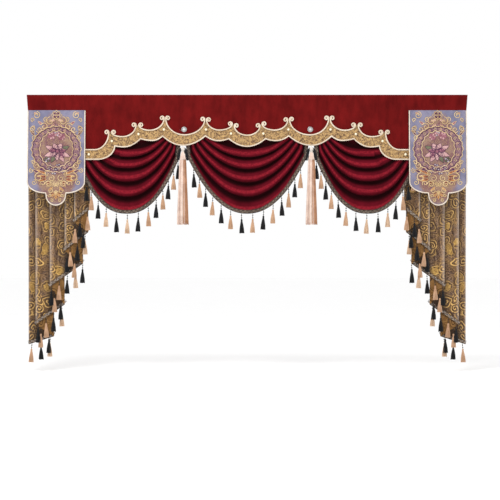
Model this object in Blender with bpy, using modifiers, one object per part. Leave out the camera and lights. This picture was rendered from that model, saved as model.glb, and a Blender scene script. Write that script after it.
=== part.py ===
"""A swag and tail drape: a velvet pelmet with a scalloped, corded border, three swags gathered
behind it, a cascading tail and an embroidered flap at each end, tasselled fringe along every
lower edge and two long bullion tassels where the swags meet.

Frame: metres, X to the right along the heading, Y away from the room, Z up. The origin is the
middle of the top edge, on the back face of the heading.
"""

from collections import namedtuple
from math import atan, cos, pi, radians, sin

import bmesh
import bpy
import numpy as np

# Clearances
GAP = 0.0003                    # between pieces that are sewn together

# Pelmet
WIDTH = 2.400
HEADING_DROP = 0.084            # of the band that shows above the flaps
HEADING_DRAW_IN = 0.0065        # how far the band narrows at its lower corners
HEM_DROP = 0.065                # turned-over top hem, on the back
HEM_THICK = 0.0025
VELVET = 0.0025
PELMET_FRONT = -(HEM_THICK + VELVET)
PELMET_BACK = -HEM_THICK
PELMET_SIDE = 0.8785            # where the panel below the heading starts
PELMET_TUCK = 0.905             # how far it widens behind the flap lower down
TUCK_TOP, TUCK_FULL = -0.180, -0.250
PELMET_UNDERLAP = 0.006         # the border hangs this far below the pelmet's own edge

# Scalloped border: the left half's scrolls, from the flap to the middle, which is the last row
CORD = 0.004                    # radius
SCROLL = 0.015                  # outer radius of a scroll
SCROLL_TURN, SCROLL_STEPS = 225, 4          # how far a cord's end curls round, in degrees
BORDER_THICK = 0.002
BORDER_FRONT = PELMET_FRONT - GAP - BORDER_THICK
CORD_MIDDLE = BORDER_FRONT - GAP - CORD
END_HIGH, END_LOW = -0.2997, -0.3514        # the border's level run under the flap
END_HIGH_FROM, END_LOW_FROM = -0.830, -0.8136
UPPER_SCALLOPS = (
    # left scroll x, z,  lowest x, z,        right scroll x, z
    (-0.7265, -0.2050, -0.6790, -0.2290, -0.6156, -0.1655),
    (-0.5780, -0.1655, -0.5310, -0.1940, -0.4625, -0.1280),
    (-0.4320, -0.1280, -0.3420, -0.2190, -0.2418, -0.1340),
    (-0.2097, -0.1370, -0.1500, -0.1930, -0.0922, -0.1590),
    (-0.0590, -0.1690, 0.0000, -0.2210, 0.0590, -0.1690),
)
FIRST_SCROLL = (-0.7635, -0.2050)
LOWER_SCALLOPS = (
    # cusp x, z,        lowest x, z of the scallop that follows it
    (-0.7205, -0.2780, -0.6710, -0.2840),
    (-0.5800, -0.2390, -0.5150, -0.2490),
    (-0.4594, -0.2247, -0.3490, -0.2753),
    (-0.2266, -0.2236, -0.1560, -0.2500),
    (-0.1000, -0.2390, 0.0000, -0.2810),
)
PEARL = 0.0075                  # radius
PEARLS = (
    # x, z
    (-0.861, -0.325), (-0.736, -0.253), (-0.591, -0.215),
    (-0.453, -0.190), (-0.224, -0.190), (-0.088, -0.212),
)
STONE_AT = (0.3435, -0.189)     # x, z
STONE, STONE_RISE = 0.0085, 0.006              # radius, and height over the pelmet
STONE_SHOULDER, STONE_GIRDLE = 0.005, 0.002    # its height at its shoulder and at its edge
RING, RING_RISE, RING_EDGE = 0.0155, 0.004, 0.0024    # outer radius, inner and outer height

# Swags
SWAG_TOP = -0.190               # sewn line on the pelmet's back
SWAG_DROP = 0.447               # from the sewn line to the lowest point of the trim
SWAG_CLOTH = 0.002
SWAG_REST = 0.006               # depth of the valleys behind the border
SWAG_SETTLE = 0.030             # below the sewn line the swag lies against the border's back
BEND_FROM = 0.840               # along each fold, where it turns up to the sewn line
HELD_FROM, HELD_OVER = 0.880, 0.220         # the gathers lie flat past here, and free before that
TAPE_SHARE = 0.957              # of the drop, where the cloth ends and the trim starts
FOLDS = (
    # share of the drop, folds passed: whole numbers are valleys, halves are ridges
    (0.000, -0.70), (0.217, 0.0), (0.340, 1.0), (0.492, 2.0),
    (0.655, 3.0), (0.832, 4.0), (1.000, 4.65),
)
FOLD_QUARTERS = 18              # rows of faces, four to a fold
ALONG = (0.0, 0.26, 0.50, 0.71, BEND_FROM, 1.0)     # columns, along half of a fold
RIPPLE_MIDDLE, RIPPLE_END, RIPPLE_HIDDEN = 0.028, 0.007, 0.005     # depth of a fold
SAG = 0.011                     # how far a ridge drops over the valley under it
BELLY = 0.012                   # how far the swag's lower part swings forward
CORD_CLEAR, COME_FORWARD = 0.025, 0.040     # below the border's edge: still flat, then in full fold
CORD_REACH = 0.060              # a fold also keeps clear of the border this far to each side

# Fringe: a braid tape and its tassels
TAPE = 0.0035                   # thickness
TAPE_GAP, TAPE_GAP_SEWN = 0.0010, 0.0070    # between hem and tape, at the middle and where sewn on
TASSEL_SIDES, TASSEL_TWIST = 4, radians(20)
TASSEL_SEWN = 0.82              # share of the way down the tape, where a thread comes out
TASSEL_PROFILE = (
    # radius, height: a thread and a yarn skirt
    (0.0000, 0.003), (0.0016, 0.003), (0.0016, -0.036), (0.0132, -0.109), (0.0000, -0.109),
)
THREAD = 0.036                  # the thread's length, down to the skirt
Swag = namedtuple("Swag", "name middle hand curve top low sewn pitch first last")
SWAGS = (
    # name, middle x, hand, power of the folds' hanging curve; half width of the top fold, of the
    # lowest one, and of that one where it is sewn on; the tassels' pitch, and the first and the
    # last one in steps of it from the middle
    Swag("left", -0.6536, 1, 2.33, 0.2130, 0.3370, 0.3000, 0.0610, -5.93, 7.07),
    Swag("middle", 0.0, 1, 2.15, 0.2347, 0.3900, 0.3450, 0.0617, -6.5, 6.5),
    Swag("right", 0.6536, -1, 2.33, 0.2130, 0.3370, 0.3000, 0.0610, -5.93, 7.07),
)

# Long bullion tassels, hung from the border between two swags
BULLION_AT = (0.349, -0.034, -0.296)        # x, y, z of the knot's middle
HEAD_PROFILE = (
    # radius, height below the knot's middle
    (0.0000, 0.0110), (0.0075, 0.0080), (0.0110, 0.0000), (0.0070, -0.0100), (0.0075, -0.0200),
    (0.0130, -0.0420), (0.0165, -0.0585), (0.0000, -0.0585),
)
SKIRT_PROFILE = (
    (0.0000, -0.0588), (0.0168, -0.0588), (0.0215, -0.1500),
    (0.0270, -0.2800), (0.0312, -0.4110), (0.0000, -0.4110),
)

# Flaps
FLAP_MIDDLE = 1.0375
FLAP_HALF = 0.155
FLAP_CLOTH = 0.002
FLAP_TOP = -HEADING_DROP - GAP
FLAP_SLOPE = 0.066              # forward for each metre down
FLAP_SIDE_DROP = 0.391          # straight side, from the flap's top
CORNER = (0.100, 0.060)         # half axes of the round lower corners
LOBE = 0.052                    # radius of the tongue
LOBE_DROP = 0.465               # of its middle, from the flap's top
PIPING = 0.0035                 # radius

# Tails: one sheet pleated back and forth, longest at the outer edge, here the left one's pleats
TAIL_CLOTH = 0.0018
TAIL_TOP = -HEM_DROP - 0.002
TAIL_SETTLE = -0.170            # below this the stack hangs clear behind the swag
TAIL_FRONT = 0.0125
PLEAT_TOP, PLEAT_LOW = 0.0035, 0.0060       # depth from one layer to the next
PLEAT_SWELL = 0.0020            # forward swell of the outer-face layers
PLEATS = (
    # x, z of the trim's lower edge at each fold
    (-1.1976, -1.3622), (-1.0584, -1.3181), (-1.1574, -1.2556), (-0.9991, -1.1435),
    (-1.0785, -1.0477), (-0.8973, -0.9193), (-0.9958, -0.8508), (-0.8674, -0.7480),
    (-0.9430, -0.6952), (-0.8549, -0.6223),
)
CLOTH_SHOULDER, TAPE_SHOULDER = 0.05, 0.10      # share of a layer in which it turns to the next
TAIL_ROWS = 3                   # of faces, from the top to the hem
TAIL_TAPE, TAIL_TAPE_THICK = 0.022, 0.0026
TAIL_TAPE_GAP = 0.0095          # more than a swag's, because the hem runs steeply round the folds
TAIL_TASSELS, TAIL_PITCH = 25, 0.0525
TASSEL_PUSH = 0.0125            # the layer behind holds a tassel this far forward

# Outlines
ARC_STEPS = 4                   # of each half scallop
FLAP_STEPS = 6                  # of each round corner

# Materials
COLOURS = {
    # linear colour, roughness, metallic
    "velvet": ((0.160, 0.006, 0.007), 0.85, 0.0),
    "brocade_border": ((0.480, 0.270, 0.090), 0.55, 0.0),
    "cord": ((0.740, 0.620, 0.470), 0.70, 0.0),
    "pearl": ((0.900, 0.830, 0.620), 0.25, 0.0),
    "silver": ((0.600, 0.600, 0.600), 0.30, 1.0),
    "crystal": ((0.900, 0.920, 0.950), 0.05, 0.0),
    "braid": ((0.120, 0.095, 0.080), 0.80, 0.0),
    "bullion": ((0.620, 0.430, 0.330), 0.75, 0.0),
    "flap_cloth": ((0.270, 0.250, 0.400), 0.70, 0.0),
    "piping": ((0.900, 0.820, 0.720), 0.70, 0.0),
    "tail_cloth": ((0.200, 0.110, 0.040), 0.65, 0.0),
}


def clear_scene():
    for item in list(bpy.data.objects):
        bpy.data.objects.remove(item)


def make_materials():
    made = {}
    for name, (colour, roughness, metallic) in COLOURS.items():
        made[name] = bpy.data.materials.new(name)
        made[name].use_nodes = True
        shader = made[name].node_tree.nodes["Principled BSDF"]
        shader.inputs["Base Color"].default_value = (*colour, 1.0)
        shader.inputs["Roughness"].default_value = roughness
        shader.inputs["Metallic"].default_value = metallic
    return made


def add(name, data, kind):
    """A new object in the drape's collection, with its own copy of a material."""
    item = bpy.data.objects.new(name, data)
    data.materials.clear()
    data.materials.append(materials[kind])
    drape.objects.link(item)
    return item


def smooth(x):
    x = min(max(x, 0.0), 1.0)
    return x * x * (3 - 2 * x)


def baked(item):
    """The object's evaluated mesh with its loose caps welded, in world space."""
    graph = bpy.context.evaluated_depsgraph_get()
    mesh = bpy.data.meshes.new_from_object(item.evaluated_get(graph))
    mesh.transform(item.matrix_world)
    solid = bmesh.new()
    solid.from_mesh(mesh)
    bmesh.ops.remove_doubles(solid, verts=solid.verts, dist=1e-6)
    solid.to_mesh(mesh)
    solid.free()
    return mesh


def united(name, pieces, kind):
    """Pieces that overlap, made one closed solid."""
    meshes = []
    for piece in pieces:
        bpy.context.view_layer.update()
        meshes.append(baked(piece))
        bpy.data.objects.remove(piece)
    whole = add(name, meshes[0], kind)
    for mesh in meshes[1:]:
        other = add(name + "_joined", mesh, kind)
        union = whole.modifiers.new("union", "BOOLEAN")
        union.operation = "UNION"
        union.object = other
        bpy.context.view_layer.update()
        whole.data = baked(whole)
        whole.modifiers.clear()
        bpy.data.objects.remove(other)
    return whole


def flat_piece(name, outline, thickness, middle, kind):
    """A flat panel in a vertical plane, cut to an outline of x and z."""
    curve = bpy.data.curves.new(name, "CURVE")
    curve.dimensions = "2D"
    curve.fill_mode = "BOTH"
    curve.extrude = thickness / 2
    spline = curve.splines.new("POLY")
    spline.points.add(len(outline) - 1)
    for point, (x, z) in zip(spline.points, outline):
        point.co = (x, z, 0, 1)
    spline.use_cyclic_u = True
    item = add(name, curve, kind)
    item.location = (0, middle, 0)
    item.rotation_euler = (pi / 2, 0, 0)
    return item


def tube(name, route, radius, kind, resolution=0):
    curve = bpy.data.curves.new(name, "CURVE")
    curve.dimensions = "3D"
    curve.bevel_depth = radius
    curve.bevel_resolution = resolution
    curve.use_fill_caps = True
    spline = curve.splines.new("POLY")
    spline.points.add(len(route) - 1)
    for point, place in zip(spline.points, route):
        point.co = (*place, 1)
    return add(name, curve, kind)


def turned(name, profile, sides, kind):
    """A solid turned about Z from a profile that runs down its outer side."""
    mesh = bpy.data.meshes.new(name)
    edges = [(i, i + 1) for i in range(len(profile) - 1)]
    mesh.from_pydata([(radius, 0, height) for radius, height in profile], edges, [])
    item = add(name, mesh, kind)
    screw = item.modifiers.new("screw", "SCREW")
    screw.steps = screw.render_steps = sides
    screw.use_merge_vertices = True
    screw.merge_threshold = 0.0001
    return item


def draped(name, columns, rows, place, thickness, kind):
    """A sheet laid on place(across, down), which both run from 0 to 1, and thickened both ways."""
    mesh = bpy.data.meshes.new(name)
    grid = bmesh.new()
    bmesh.ops.create_grid(grid, x_segments=columns, y_segments=rows, size=0.5)
    for vert in grid.verts:
        vert.co = place(vert.co.x + 0.5, 0.5 - vert.co.y)
    grid.to_mesh(mesh)
    grid.free()
    item = add(name, mesh, kind)
    solidify = item.modifiers.new("thickness", "SOLIDIFY")
    solidify.thickness = thickness
    solidify.offset = 0
    return item


def quarter(start, end, steps=ARC_STEPS):
    """A quarter ellipse that leaves start upright and reaches end level."""
    turns = [pi / 2 * i / steps for i in range(steps + 1)]
    return [
        (end[0] + (start[0] - end[0]) * cos(a), start[1] + (end[1] - start[1]) * sin(a))
        for a in turns
    ]


def mirrored(points):
    return [(-x, z) for x, z in reversed(points)]


# The scalloped border

def scroll(x, z, hand):
    """A cord's end from where it reaches its scroll upright: up, over and round, outwards."""
    reach = SCROLL - CORD
    turns = [radians(SCROLL_TURN) * i / SCROLL_STEPS for i in range(1, SCROLL_STEPS + 1)]
    return [(x + hand * reach * cos(a), z + reach * sin(a)) for a in turns]


def scallop(row):
    """The cord's line over one scallop, from scroll to scroll; it runs up between the scrolls."""
    left_x, left_z, low_x, low_z, right_x, right_z = row
    reach = SCROLL - CORD
    left = quarter((left_x - reach, left_z), (low_x, low_z))
    right = quarter((right_x + reach, right_z), (low_x, low_z))
    return left + right[-2::-1]


def upper_lines():
    """Each upper cord's line between its scrolls, and each whole cord's, from left to right."""
    reach = SCROLL - CORD
    end = quarter((FIRST_SCROLL[0] + reach, FIRST_SCROLL[1]), (END_HIGH_FROM, END_HIGH))[::-1]
    line = [(-PELMET_TUCK + CORD, END_HIGH)] + end
    lines = [(line, line + scroll(*FIRST_SCROLL, 1))]
    for row in UPPER_SCALLOPS:
        line = scallop(row)
        lines.append((line, scroll(*row[:2], -1)[::-1] + line + scroll(*row[4:], 1)))
    return lines + [(mirrored(line), mirrored(whole)) for line, whole in lines[-2::-1]]


def lower_line():
    """The border's lower edge, from left to right."""
    first = LOWER_SCALLOPS[0][:2]
    points = [(-PELMET_TUCK + CORD, END_LOW)] + quarter(first, (END_LOW_FROM, END_LOW))[::-1]
    for i, (cusp_x, cusp_z, low_x, low_z) in enumerate(LOWER_SCALLOPS):
        for step in range(1, ARC_STEPS // 2 + 1):
            x = cusp_x + (low_x - cusp_x) * step / (ARC_STEPS // 2)
            points.append((x, low_z + (cusp_z - low_z) * ((x - low_x) / (cusp_x - low_x)) ** 2))
        if i + 1 < len(LOWER_SCALLOPS):
            next_x, next_z = LOWER_SCALLOPS[i + 1][:2]
            for step in range(1, ARC_STEPS // 2 + 1):
                x = low_x + (next_x - low_x) * step / (ARC_STEPS // 2)
                points.append((x, low_z + (next_z - low_z) * ((x - low_x) / (next_x - low_x)) ** 2))
    return points + mirrored(points)[1:]


def border_edge(x):
    """Height of the border's lower edge at x."""
    return float(np.interp(x, *zip(*lower_line())))


def make_border():
    uppers = upper_lines()
    top = [point for line, _ in uppers for point in line]
    flat_piece("border", top + lower_line()[::-1], BORDER_THICK,
               BORDER_FRONT + BORDER_THICK / 2, "brocade_border")
    for i, (_, whole) in enumerate(uppers, 1):
        tube(f"upper_cord_{i:02d}", [(x, CORD_MIDDLE, z) for x, z in whole], CORD, "cord")
    tube("lower_cord", [(x, CORD_MIDDLE, z) for x, z in lower_line()], CORD, "cord")


def make_pelmet():
    half = WIDTH / 2
    left = [
        (-half, 0), (-half + HEADING_DRAW_IN, -HEADING_DROP), (-PELMET_SIDE, -HEADING_DROP),
        (-PELMET_SIDE, TUCK_TOP), (-PELMET_TUCK, TUCK_FULL),
    ]
    edge = [(x, z + PELMET_UNDERLAP) for x, z in lower_line()]
    edge[0] = (-PELMET_TUCK, edge[0][1])
    edge[-1] = (PELMET_TUCK, edge[-1][1])
    panel = flat_piece("panel", left + edge + mirrored(left), VELVET,
                       PELMET_FRONT + VELVET / 2, "velvet")
    bpy.context.view_layer.update()
    mesh = baked(panel)
    bpy.data.objects.remove(panel)
    solid = bmesh.new()
    solid.from_mesh(mesh)
    bmesh.ops.bisect_plane(solid, geom=solid.verts[:] + solid.edges[:] + solid.faces[:],
                           plane_co=(0, 0, -HEM_DROP), plane_no=(0, 0, 1))
    back = [face for face in solid.faces
            if face.normal.y > 0.9 and face.calc_center_median().z > -HEM_DROP]
    turned_over = bmesh.ops.extrude_face_region(solid, geom=back)["geom"]
    verts = [item for item in turned_over if isinstance(item, bmesh.types.BMVert)]
    bmesh.ops.translate(solid, verts=verts, vec=(0, HEM_THICK, 0))
    bmesh.ops.delete(solid, geom=back, context="FACES")
    bmesh.ops.recalc_face_normals(solid, faces=solid.faces)
    solid.to_mesh(mesh)
    solid.free()
    add("pelmet", mesh, "velvet")


def make_jewels():
    front = BORDER_FRONT - GAP - PEARL
    for i, (x, z) in enumerate(PEARLS + tuple(mirrored(PEARLS)), 1):
        mesh = bpy.data.meshes.new("pearl")
        ball = bmesh.new()
        bmesh.ops.create_uvsphere(ball, u_segments=6, v_segments=4, radius=PEARL)
        ball.to_mesh(mesh)
        ball.free()
        add(f"pearl_{i:02d}", mesh, "pearl").location = (x, front, z)
    for name, hand in (("left", -1), ("right", 1)):
        x, z = hand * STONE_AT[0], STONE_AT[1]
        inner = STONE + GAP
        ring = [(inner, RING_RISE), (RING, RING_EDGE), (RING, 0), (inner, 0), (inner, RING_RISE)]
        dome = [(0, STONE_RISE), (STONE * 0.6, STONE_SHOULDER), (STONE, STONE_GIRDLE),
                (STONE, 0), (0, 0)]
        for label, profile, kind in (("ring", ring, "silver"), ("stone", dome, "crystal")):
            piece = turned(f"{label}_{name}", profile, 6, kind)
            piece.location = (x, PELMET_FRONT - GAP, z)
            piece.rotation_euler = (pi / 2, 0, 0)


# The swags

def fold_phase(share):
    return float(np.interp(share, *zip(*FOLDS)))


def fold_share(phase):
    shares, phases = zip(*FOLDS)
    return float(np.interp(phase, phases, shares))


def swag_point(swag, share, along):
    """A point of a swag: share of its drop, and along its fold from -1 to 1."""
    t = abs(along)
    depth = SWAG_DROP * share
    reach = swag.top + (swag.low - swag.top) * share
    sewn = swag.top + (swag.sewn - swag.top) * share
    out = reach * t
    if t > BEND_FROM:
        bend = smooth((t - BEND_FROM) / (1 - BEND_FROM))
        out = reach * BEND_FROM + (sewn - reach * BEND_FROM) * bend
    x = swag.middle + (out if along > 0 else -out)
    z = SWAG_TOP - depth * (1 - t ** swag.curve)
    ridge = 0.5 - 0.5 * cos(2 * pi * fold_phase(share))
    edge = min(border_edge(x + side * CORD_REACH) for side in (-1, 0, 1))
    free = smooth((edge - CORD_CLEAR - z) / COME_FORWARD) * smooth((HELD_FROM - t) / HELD_OVER)
    settled = smooth((SWAG_TOP - z) / SWAG_SETTLE)
    full = RIPPLE_MIDDLE + (RIPPLE_END - RIPPLE_MIDDLE) * t ** 1.5
    ripple = (RIPPLE_HIDDEN * settled + (full - RIPPLE_HIDDEN) * free) * ridge
    rest = PELMET_BACK + GAP + SWAG_CLOTH / 2
    y = rest + (SWAG_REST - rest) * settled - ripple - BELLY * share * (1 - t * t) * free
    return x, y, z - SAG * ridge * free * (1 - t ** 2)


def fold_place(across):
    """The place along a fold, from -1 to 1, of a column of the swag's faces."""
    places = [-t for t in ALONG[:0:-1]] + list(ALONG)
    return places[round(across * (len(places) - 1))]


def fold_row(down):
    """The share of the drop of a row of the swag's faces: four to a fold."""
    phases = [FOLDS[0][1]] + [i / 4 for i in range(FOLD_QUARTERS)] + [fold_phase(TAPE_SHARE)]
    return fold_share(phases[round(down * (len(phases) - 1))])


def spots(route, distances):
    """Places on a route of straight runs, at these distances from its middle."""
    route = np.array(route)
    length = np.concatenate([[0], np.cumsum(np.linalg.norm(np.diff(route, axis=0), axis=1))])
    length -= length[-1] / 2
    return [[float(np.interp(at, length, route[:, i])) for i in range(3)] for at in distances]


def tassels(places, push):
    """A tassel at each place, each one's skirt held forward by push."""
    template = turned("tassel", TASSEL_PROFILE, TASSEL_SIDES, "braid")
    template.rotation_euler = (0, 0, TASSEL_TWIST)
    bpy.context.view_layer.update()
    shape = baked(template)
    bpy.data.objects.remove(template)
    made = []
    for vert in shape.vertices:
        vert.co.y -= push * smooth(-vert.co.z / THREAD)
    for place in places:
        made.append(add("tassel", shape.copy(), "braid"))
        made[-1].location = place
    return made


def make_swag(swag):
    columns = 2 * (len(ALONG) - 1)

    def cloth_point(across, down):
        along = fold_place(across)
        gap = TAPE_GAP + (TAPE_GAP_SEWN - TAPE_GAP) * along ** 2
        share = min(fold_row(down), TAPE_SHARE - gap / SWAG_DROP)
        return swag_point(swag, share, along)

    def tape_point(across, down):
        share = TAPE_SHARE + (1 - TAPE_SHARE) * down
        x, y, z = swag_point(swag, share, fold_place(across))
        return x, y + (TAPE - SWAG_CLOTH) / 2, z

    draped(f"swag_{swag.name}", columns, FOLD_QUARTERS + 1, cloth_point, SWAG_CLOTH, "velvet")
    tape = draped("tape", columns, 1, tape_point, TAPE, "braid")
    route = [tape_point(i / columns, TASSEL_SEWN) for i in range(columns + 1)]
    steps = np.linspace(swag.first, swag.last, round(swag.last - swag.first) + 1)
    places = spots(route, swag.hand * swag.pitch * steps)
    united(f"swag_fringe_{swag.name}", [tape] + tassels(places, 0.0), "braid")


# The tails

def pleat_section(shoulder):
    """Columns across the pleated sheet: x, the layer's number, the hem's height and the swell."""
    columns = [(PLEATS[0][0], 0.0, PLEATS[0][1], 0.0)]
    for layer in range(len(PLEATS) - 1):
        (x0, z0), (x1, z1) = PLEATS[layer], PLEATS[layer + 1]
        shares = (shoulder, 0.5, 1 - shoulder)
        if layer % 2 == 1:
            shares = (shoulder * 1.2, 1 - shoulder * 1.2)
        for share in shares:
            swell = 4 * share * (1 - share) if layer % 2 == 0 else 0.0
            columns.append((x0 + (x1 - x0) * share, float(layer), z0 + (z1 - z0) * share, swell))
        if layer + 1 < len(PLEATS) - 1:
            columns.append((x1, layer + 0.5, z1, 0.0))
        else:
            columns.append((x1, float(layer), z1, 0.0))
    return columns


def tail_point(hand, column, z):
    """A point of a tail's sheet in one column of its section, at height z."""
    x, layer, _, swell = column
    settled = smooth((TAIL_TOP - z) / (TAIL_TOP - TAIL_SETTLE))
    lowest = PLEATS[0][1]
    spread = PLEAT_TOP + (PLEAT_LOW - PLEAT_TOP) * (TAIL_TOP - z) / (TAIL_TOP - lowest)
    start = PELMET_BACK + GAP + TAIL_CLOTH / 2
    front = start + (TAIL_FRONT - start) * settled
    y = front + (len(PLEATS) - 2 - layer) * spread - PLEAT_SWELL * swell * settled
    return -hand * x, y, z


def make_tail(name, hand):
    section = pleat_section(CLOTH_SHOULDER)
    last = len(section) - 1
    tape_section = pleat_section(TAPE_SHOULDER)

    def cloth_point(across, down):
        column = section[round(across * last)]
        bottom = column[2] + TAIL_TAPE + TAIL_TAPE_GAP
        levels = (TAIL_TOP, TAIL_SETTLE, (TAIL_SETTLE + bottom) / 2, bottom)
        return tail_point(hand, column, levels[round(down * TAIL_ROWS)])

    def tape_point(across, down):
        column = tape_section[round(across * last)]
        return tail_point(hand, column, column[2] + TAIL_TAPE * (1 - down))

    draped(f"tail_{name}", last, TAIL_ROWS, cloth_point, TAIL_CLOTH, "tail_cloth")
    tape = draped("tape", last, 1, tape_point, TAIL_TAPE_THICK, "braid")
    route = [tape_point(i / last, TASSEL_SEWN) for i in range(last + 1)]
    distances = [(i - (TAIL_TASSELS - 1) / 2) * TAIL_PITCH for i in range(TAIL_TASSELS)]
    united(f"tail_fringe_{name}", [tape] + tassels(spots(route, distances), TASSEL_PUSH), "braid")


# The flaps

def flap_outline():
    """Half the flap's edge from its top corner to the tongue's tip, from the flap's top middle."""
    half = [(FLAP_HALF, 0.0)]
    corner_x, corner_z = FLAP_HALF - CORNER[0], -FLAP_SIDE_DROP
    for i in range(FLAP_STEPS):
        a = pi / 2 * i / (FLAP_STEPS - 1)
        half.append((corner_x + CORNER[0] * cos(a), corner_z - CORNER[1] * sin(a)))
    for i in range(FLAP_STEPS):
        a = pi / 2 * i / (FLAP_STEPS - 1)
        half.append((LOBE * cos(a), -LOBE_DROP - LOBE * sin(a)))
    return half


def make_flap(name, hand):
    half = flap_outline()
    middle = hand * FLAP_MIDDLE
    edge = [(middle + x, z) for x, z in half] + [(middle - x, z) for x, z in half[-2::-1]]
    lean = atan(FLAP_SLOPE)
    top = PELMET_BACK - FLAP_CLOTH / 2
    flap = flat_piece(f"flap_{name}", edge, FLAP_CLOTH, top, "flap_cloth")
    out = FLAP_CLOTH / 2 + GAP + PIPING
    piping = tube(f"flap_piping_{name}", [(x, z - out * FLAP_SLOPE, out) for x, z in edge], PIPING,
                  "piping")
    for piece in (flap, piping):
        piece.location = (0, top, FLAP_TOP)
        piece.rotation_euler = (pi / 2 - lean, 0, 0)


def make_bullion_tassel(name, hand):
    x, y, z = BULLION_AT
    for label, profile in (("head", HEAD_PROFILE), ("skirt", SKIRT_PROFILE)):
        piece = turned(f"bullion_{label}_{name}", profile, 8, "bullion")
        piece.location = (hand * x, y, z)
        piece.rotation_euler = (0, 0, radians(22.5))


clear_scene()
drape = bpy.data.collections.new("swag_and_tail_drape")
bpy.context.scene.collection.children.link(drape)
materials = make_materials()
make_pelmet()
make_border()
make_jewels()
for swag in SWAGS:
    make_swag(swag)
for side, hand in (("left", -1), ("right", 1)):
    make_tail(side, hand)
    make_flap(side, hand)
    make_bullion_tassel(side, hand)
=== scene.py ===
"""A swag and tail drape: velvet pelmet and swags, a corded gold border, brocade tails, embroidered
flaps, tasselled fringe and two bullion tassels."""

from collections import namedtuple
from math import cos, pi, radians, sin, tau

import bmesh
import bpy
import numpy as np
from mathutils import Matrix, Vector


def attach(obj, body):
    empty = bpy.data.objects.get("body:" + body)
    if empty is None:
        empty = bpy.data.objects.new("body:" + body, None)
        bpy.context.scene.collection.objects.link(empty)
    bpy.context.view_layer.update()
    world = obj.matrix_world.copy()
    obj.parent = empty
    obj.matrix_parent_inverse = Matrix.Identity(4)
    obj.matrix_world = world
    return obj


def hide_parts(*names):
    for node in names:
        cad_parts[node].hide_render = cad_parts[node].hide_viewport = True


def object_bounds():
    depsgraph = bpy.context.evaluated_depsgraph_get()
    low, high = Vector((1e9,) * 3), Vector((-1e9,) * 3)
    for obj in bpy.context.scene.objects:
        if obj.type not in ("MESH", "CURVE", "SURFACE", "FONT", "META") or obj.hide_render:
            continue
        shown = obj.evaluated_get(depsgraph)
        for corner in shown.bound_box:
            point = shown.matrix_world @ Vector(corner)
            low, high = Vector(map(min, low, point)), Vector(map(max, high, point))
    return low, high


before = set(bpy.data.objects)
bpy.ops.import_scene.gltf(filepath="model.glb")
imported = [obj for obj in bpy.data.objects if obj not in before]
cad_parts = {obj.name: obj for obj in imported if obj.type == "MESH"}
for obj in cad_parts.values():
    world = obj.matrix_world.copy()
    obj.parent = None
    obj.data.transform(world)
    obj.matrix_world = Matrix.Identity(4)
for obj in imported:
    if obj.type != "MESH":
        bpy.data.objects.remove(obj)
cad_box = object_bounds()

# ---- The room ----
# A pale floor under the hung drape, a white surround, one broad soft light above and in front, and
# a weaker one to the side. The camera is far off and level, as for a catalogue.

FLOOR_UNDER = 0.05
CAMERA_AT = (0.0155, -9.0, -0.845)
CAMERA_LENS, CAMERA_SENSOR = 119.0, 36.0
LIGHTS = (
    # name, place, aimed at, size, power
    ("key", (-1.2, -3.0, 2.6), (0.0, 0.0, -0.55), 1.2, 84.0),
    ("side", (3.6, -3.4, 0.2), (0.0, 0.0, -0.7), 1.6, 12.0),
)


def feed(tree, socket, value):
    """Sets a socket to a value, or joins it if it is given another node's socket."""
    if isinstance(value, bpy.types.NodeSocket):
        tree.links.new(value, socket)
    else:
        socket.default_value = value


def node(tree, kind, settings=None, **inputs):
    """A shader node with these settings and inputs."""
    made = tree.nodes.new("ShaderNode" + kind)
    for label, value in (settings or {}).items():
        setattr(made, label, value)
    for label, value in inputs.items():
        feed(tree, made.inputs[label.replace("_", " ")], value)
    return made


def finish(name, **values):
    """A new material, its tree and its Principled shader with these values."""
    made = bpy.data.materials.new(name)
    made.use_nodes = True
    shader = made.node_tree.nodes["Principled BSDF"]
    for label, value in values.items():
        shader.inputs[label.replace("_", " ")].default_value = value
    return made, made.node_tree, shader


def calc(tree, operation, *values):
    """A sum, product or other step on numbers, each a value or a socket."""
    made = node(tree, "Math", {"operation": operation})
    for socket, value in zip(made.inputs, values):
        feed(tree, socket, value)
    return made.outputs[0]


def mixed(tree, factor, first, second):
    """Two colours mixed, each a value or a socket."""
    made = node(tree, "Mix", {"data_type": "RGBA"})
    for number, value in ((0, factor), (6, first), (7, second)):
        feed(tree, made.inputs[number], value)
    return made.outputs[2]


def ramped(tree, value, low, high):
    """0 where a value is at low, 1 where it is at high."""
    return node(tree, "MapRange", {"interpolation_type": "SMOOTHSTEP"}, Value=value, From_Min=low,
                From_Max=high).outputs[0]


def times(tree, first, second):
    return calc(tree, "MULTIPLY", first, second)


def over(tree, ground, factor, share, colour):
    """A colour laid over a ground where factor is 1, and as strongly as share says."""
    return mixed(tree, times(tree, factor, share), ground, colour)


def own_place(tree):
    """Where a point is on its object."""
    return node(tree, "TexCoord").outputs["Object"]


def noise(tree, where, scale, detail=2.0, roughness=0.5):
    return node(tree, "TexNoise", Vector=where, Scale=scale, Detail=detail,
                Roughness=roughness).outputs[0]


def dressed(tree, shader, colour, height=None, strength=0.35, distance=0.0006):
    """Gives a material its colour and, from a height, its bump."""
    tree.links.new(colour, shader.inputs["Base Color"])
    if height is not None:
        bump = node(tree, "Bump", Height=height, Strength=strength, Distance=distance)
        tree.links.new(bump.outputs[0], shader.inputs["Normal"])


camera = bpy.data.objects.new("camera", bpy.data.cameras.new("camera"))
camera.data.lens = CAMERA_LENS
camera.data.sensor_width = CAMERA_SENSOR
camera.data.clip_end = 100.0
camera.location = CAMERA_AT
camera.rotation_euler = (pi / 2, 0, 0)
scene = bpy.context.scene
scene.collection.objects.link(camera)
scene.camera = camera
scene.view_settings.view_transform = "Standard"

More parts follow.
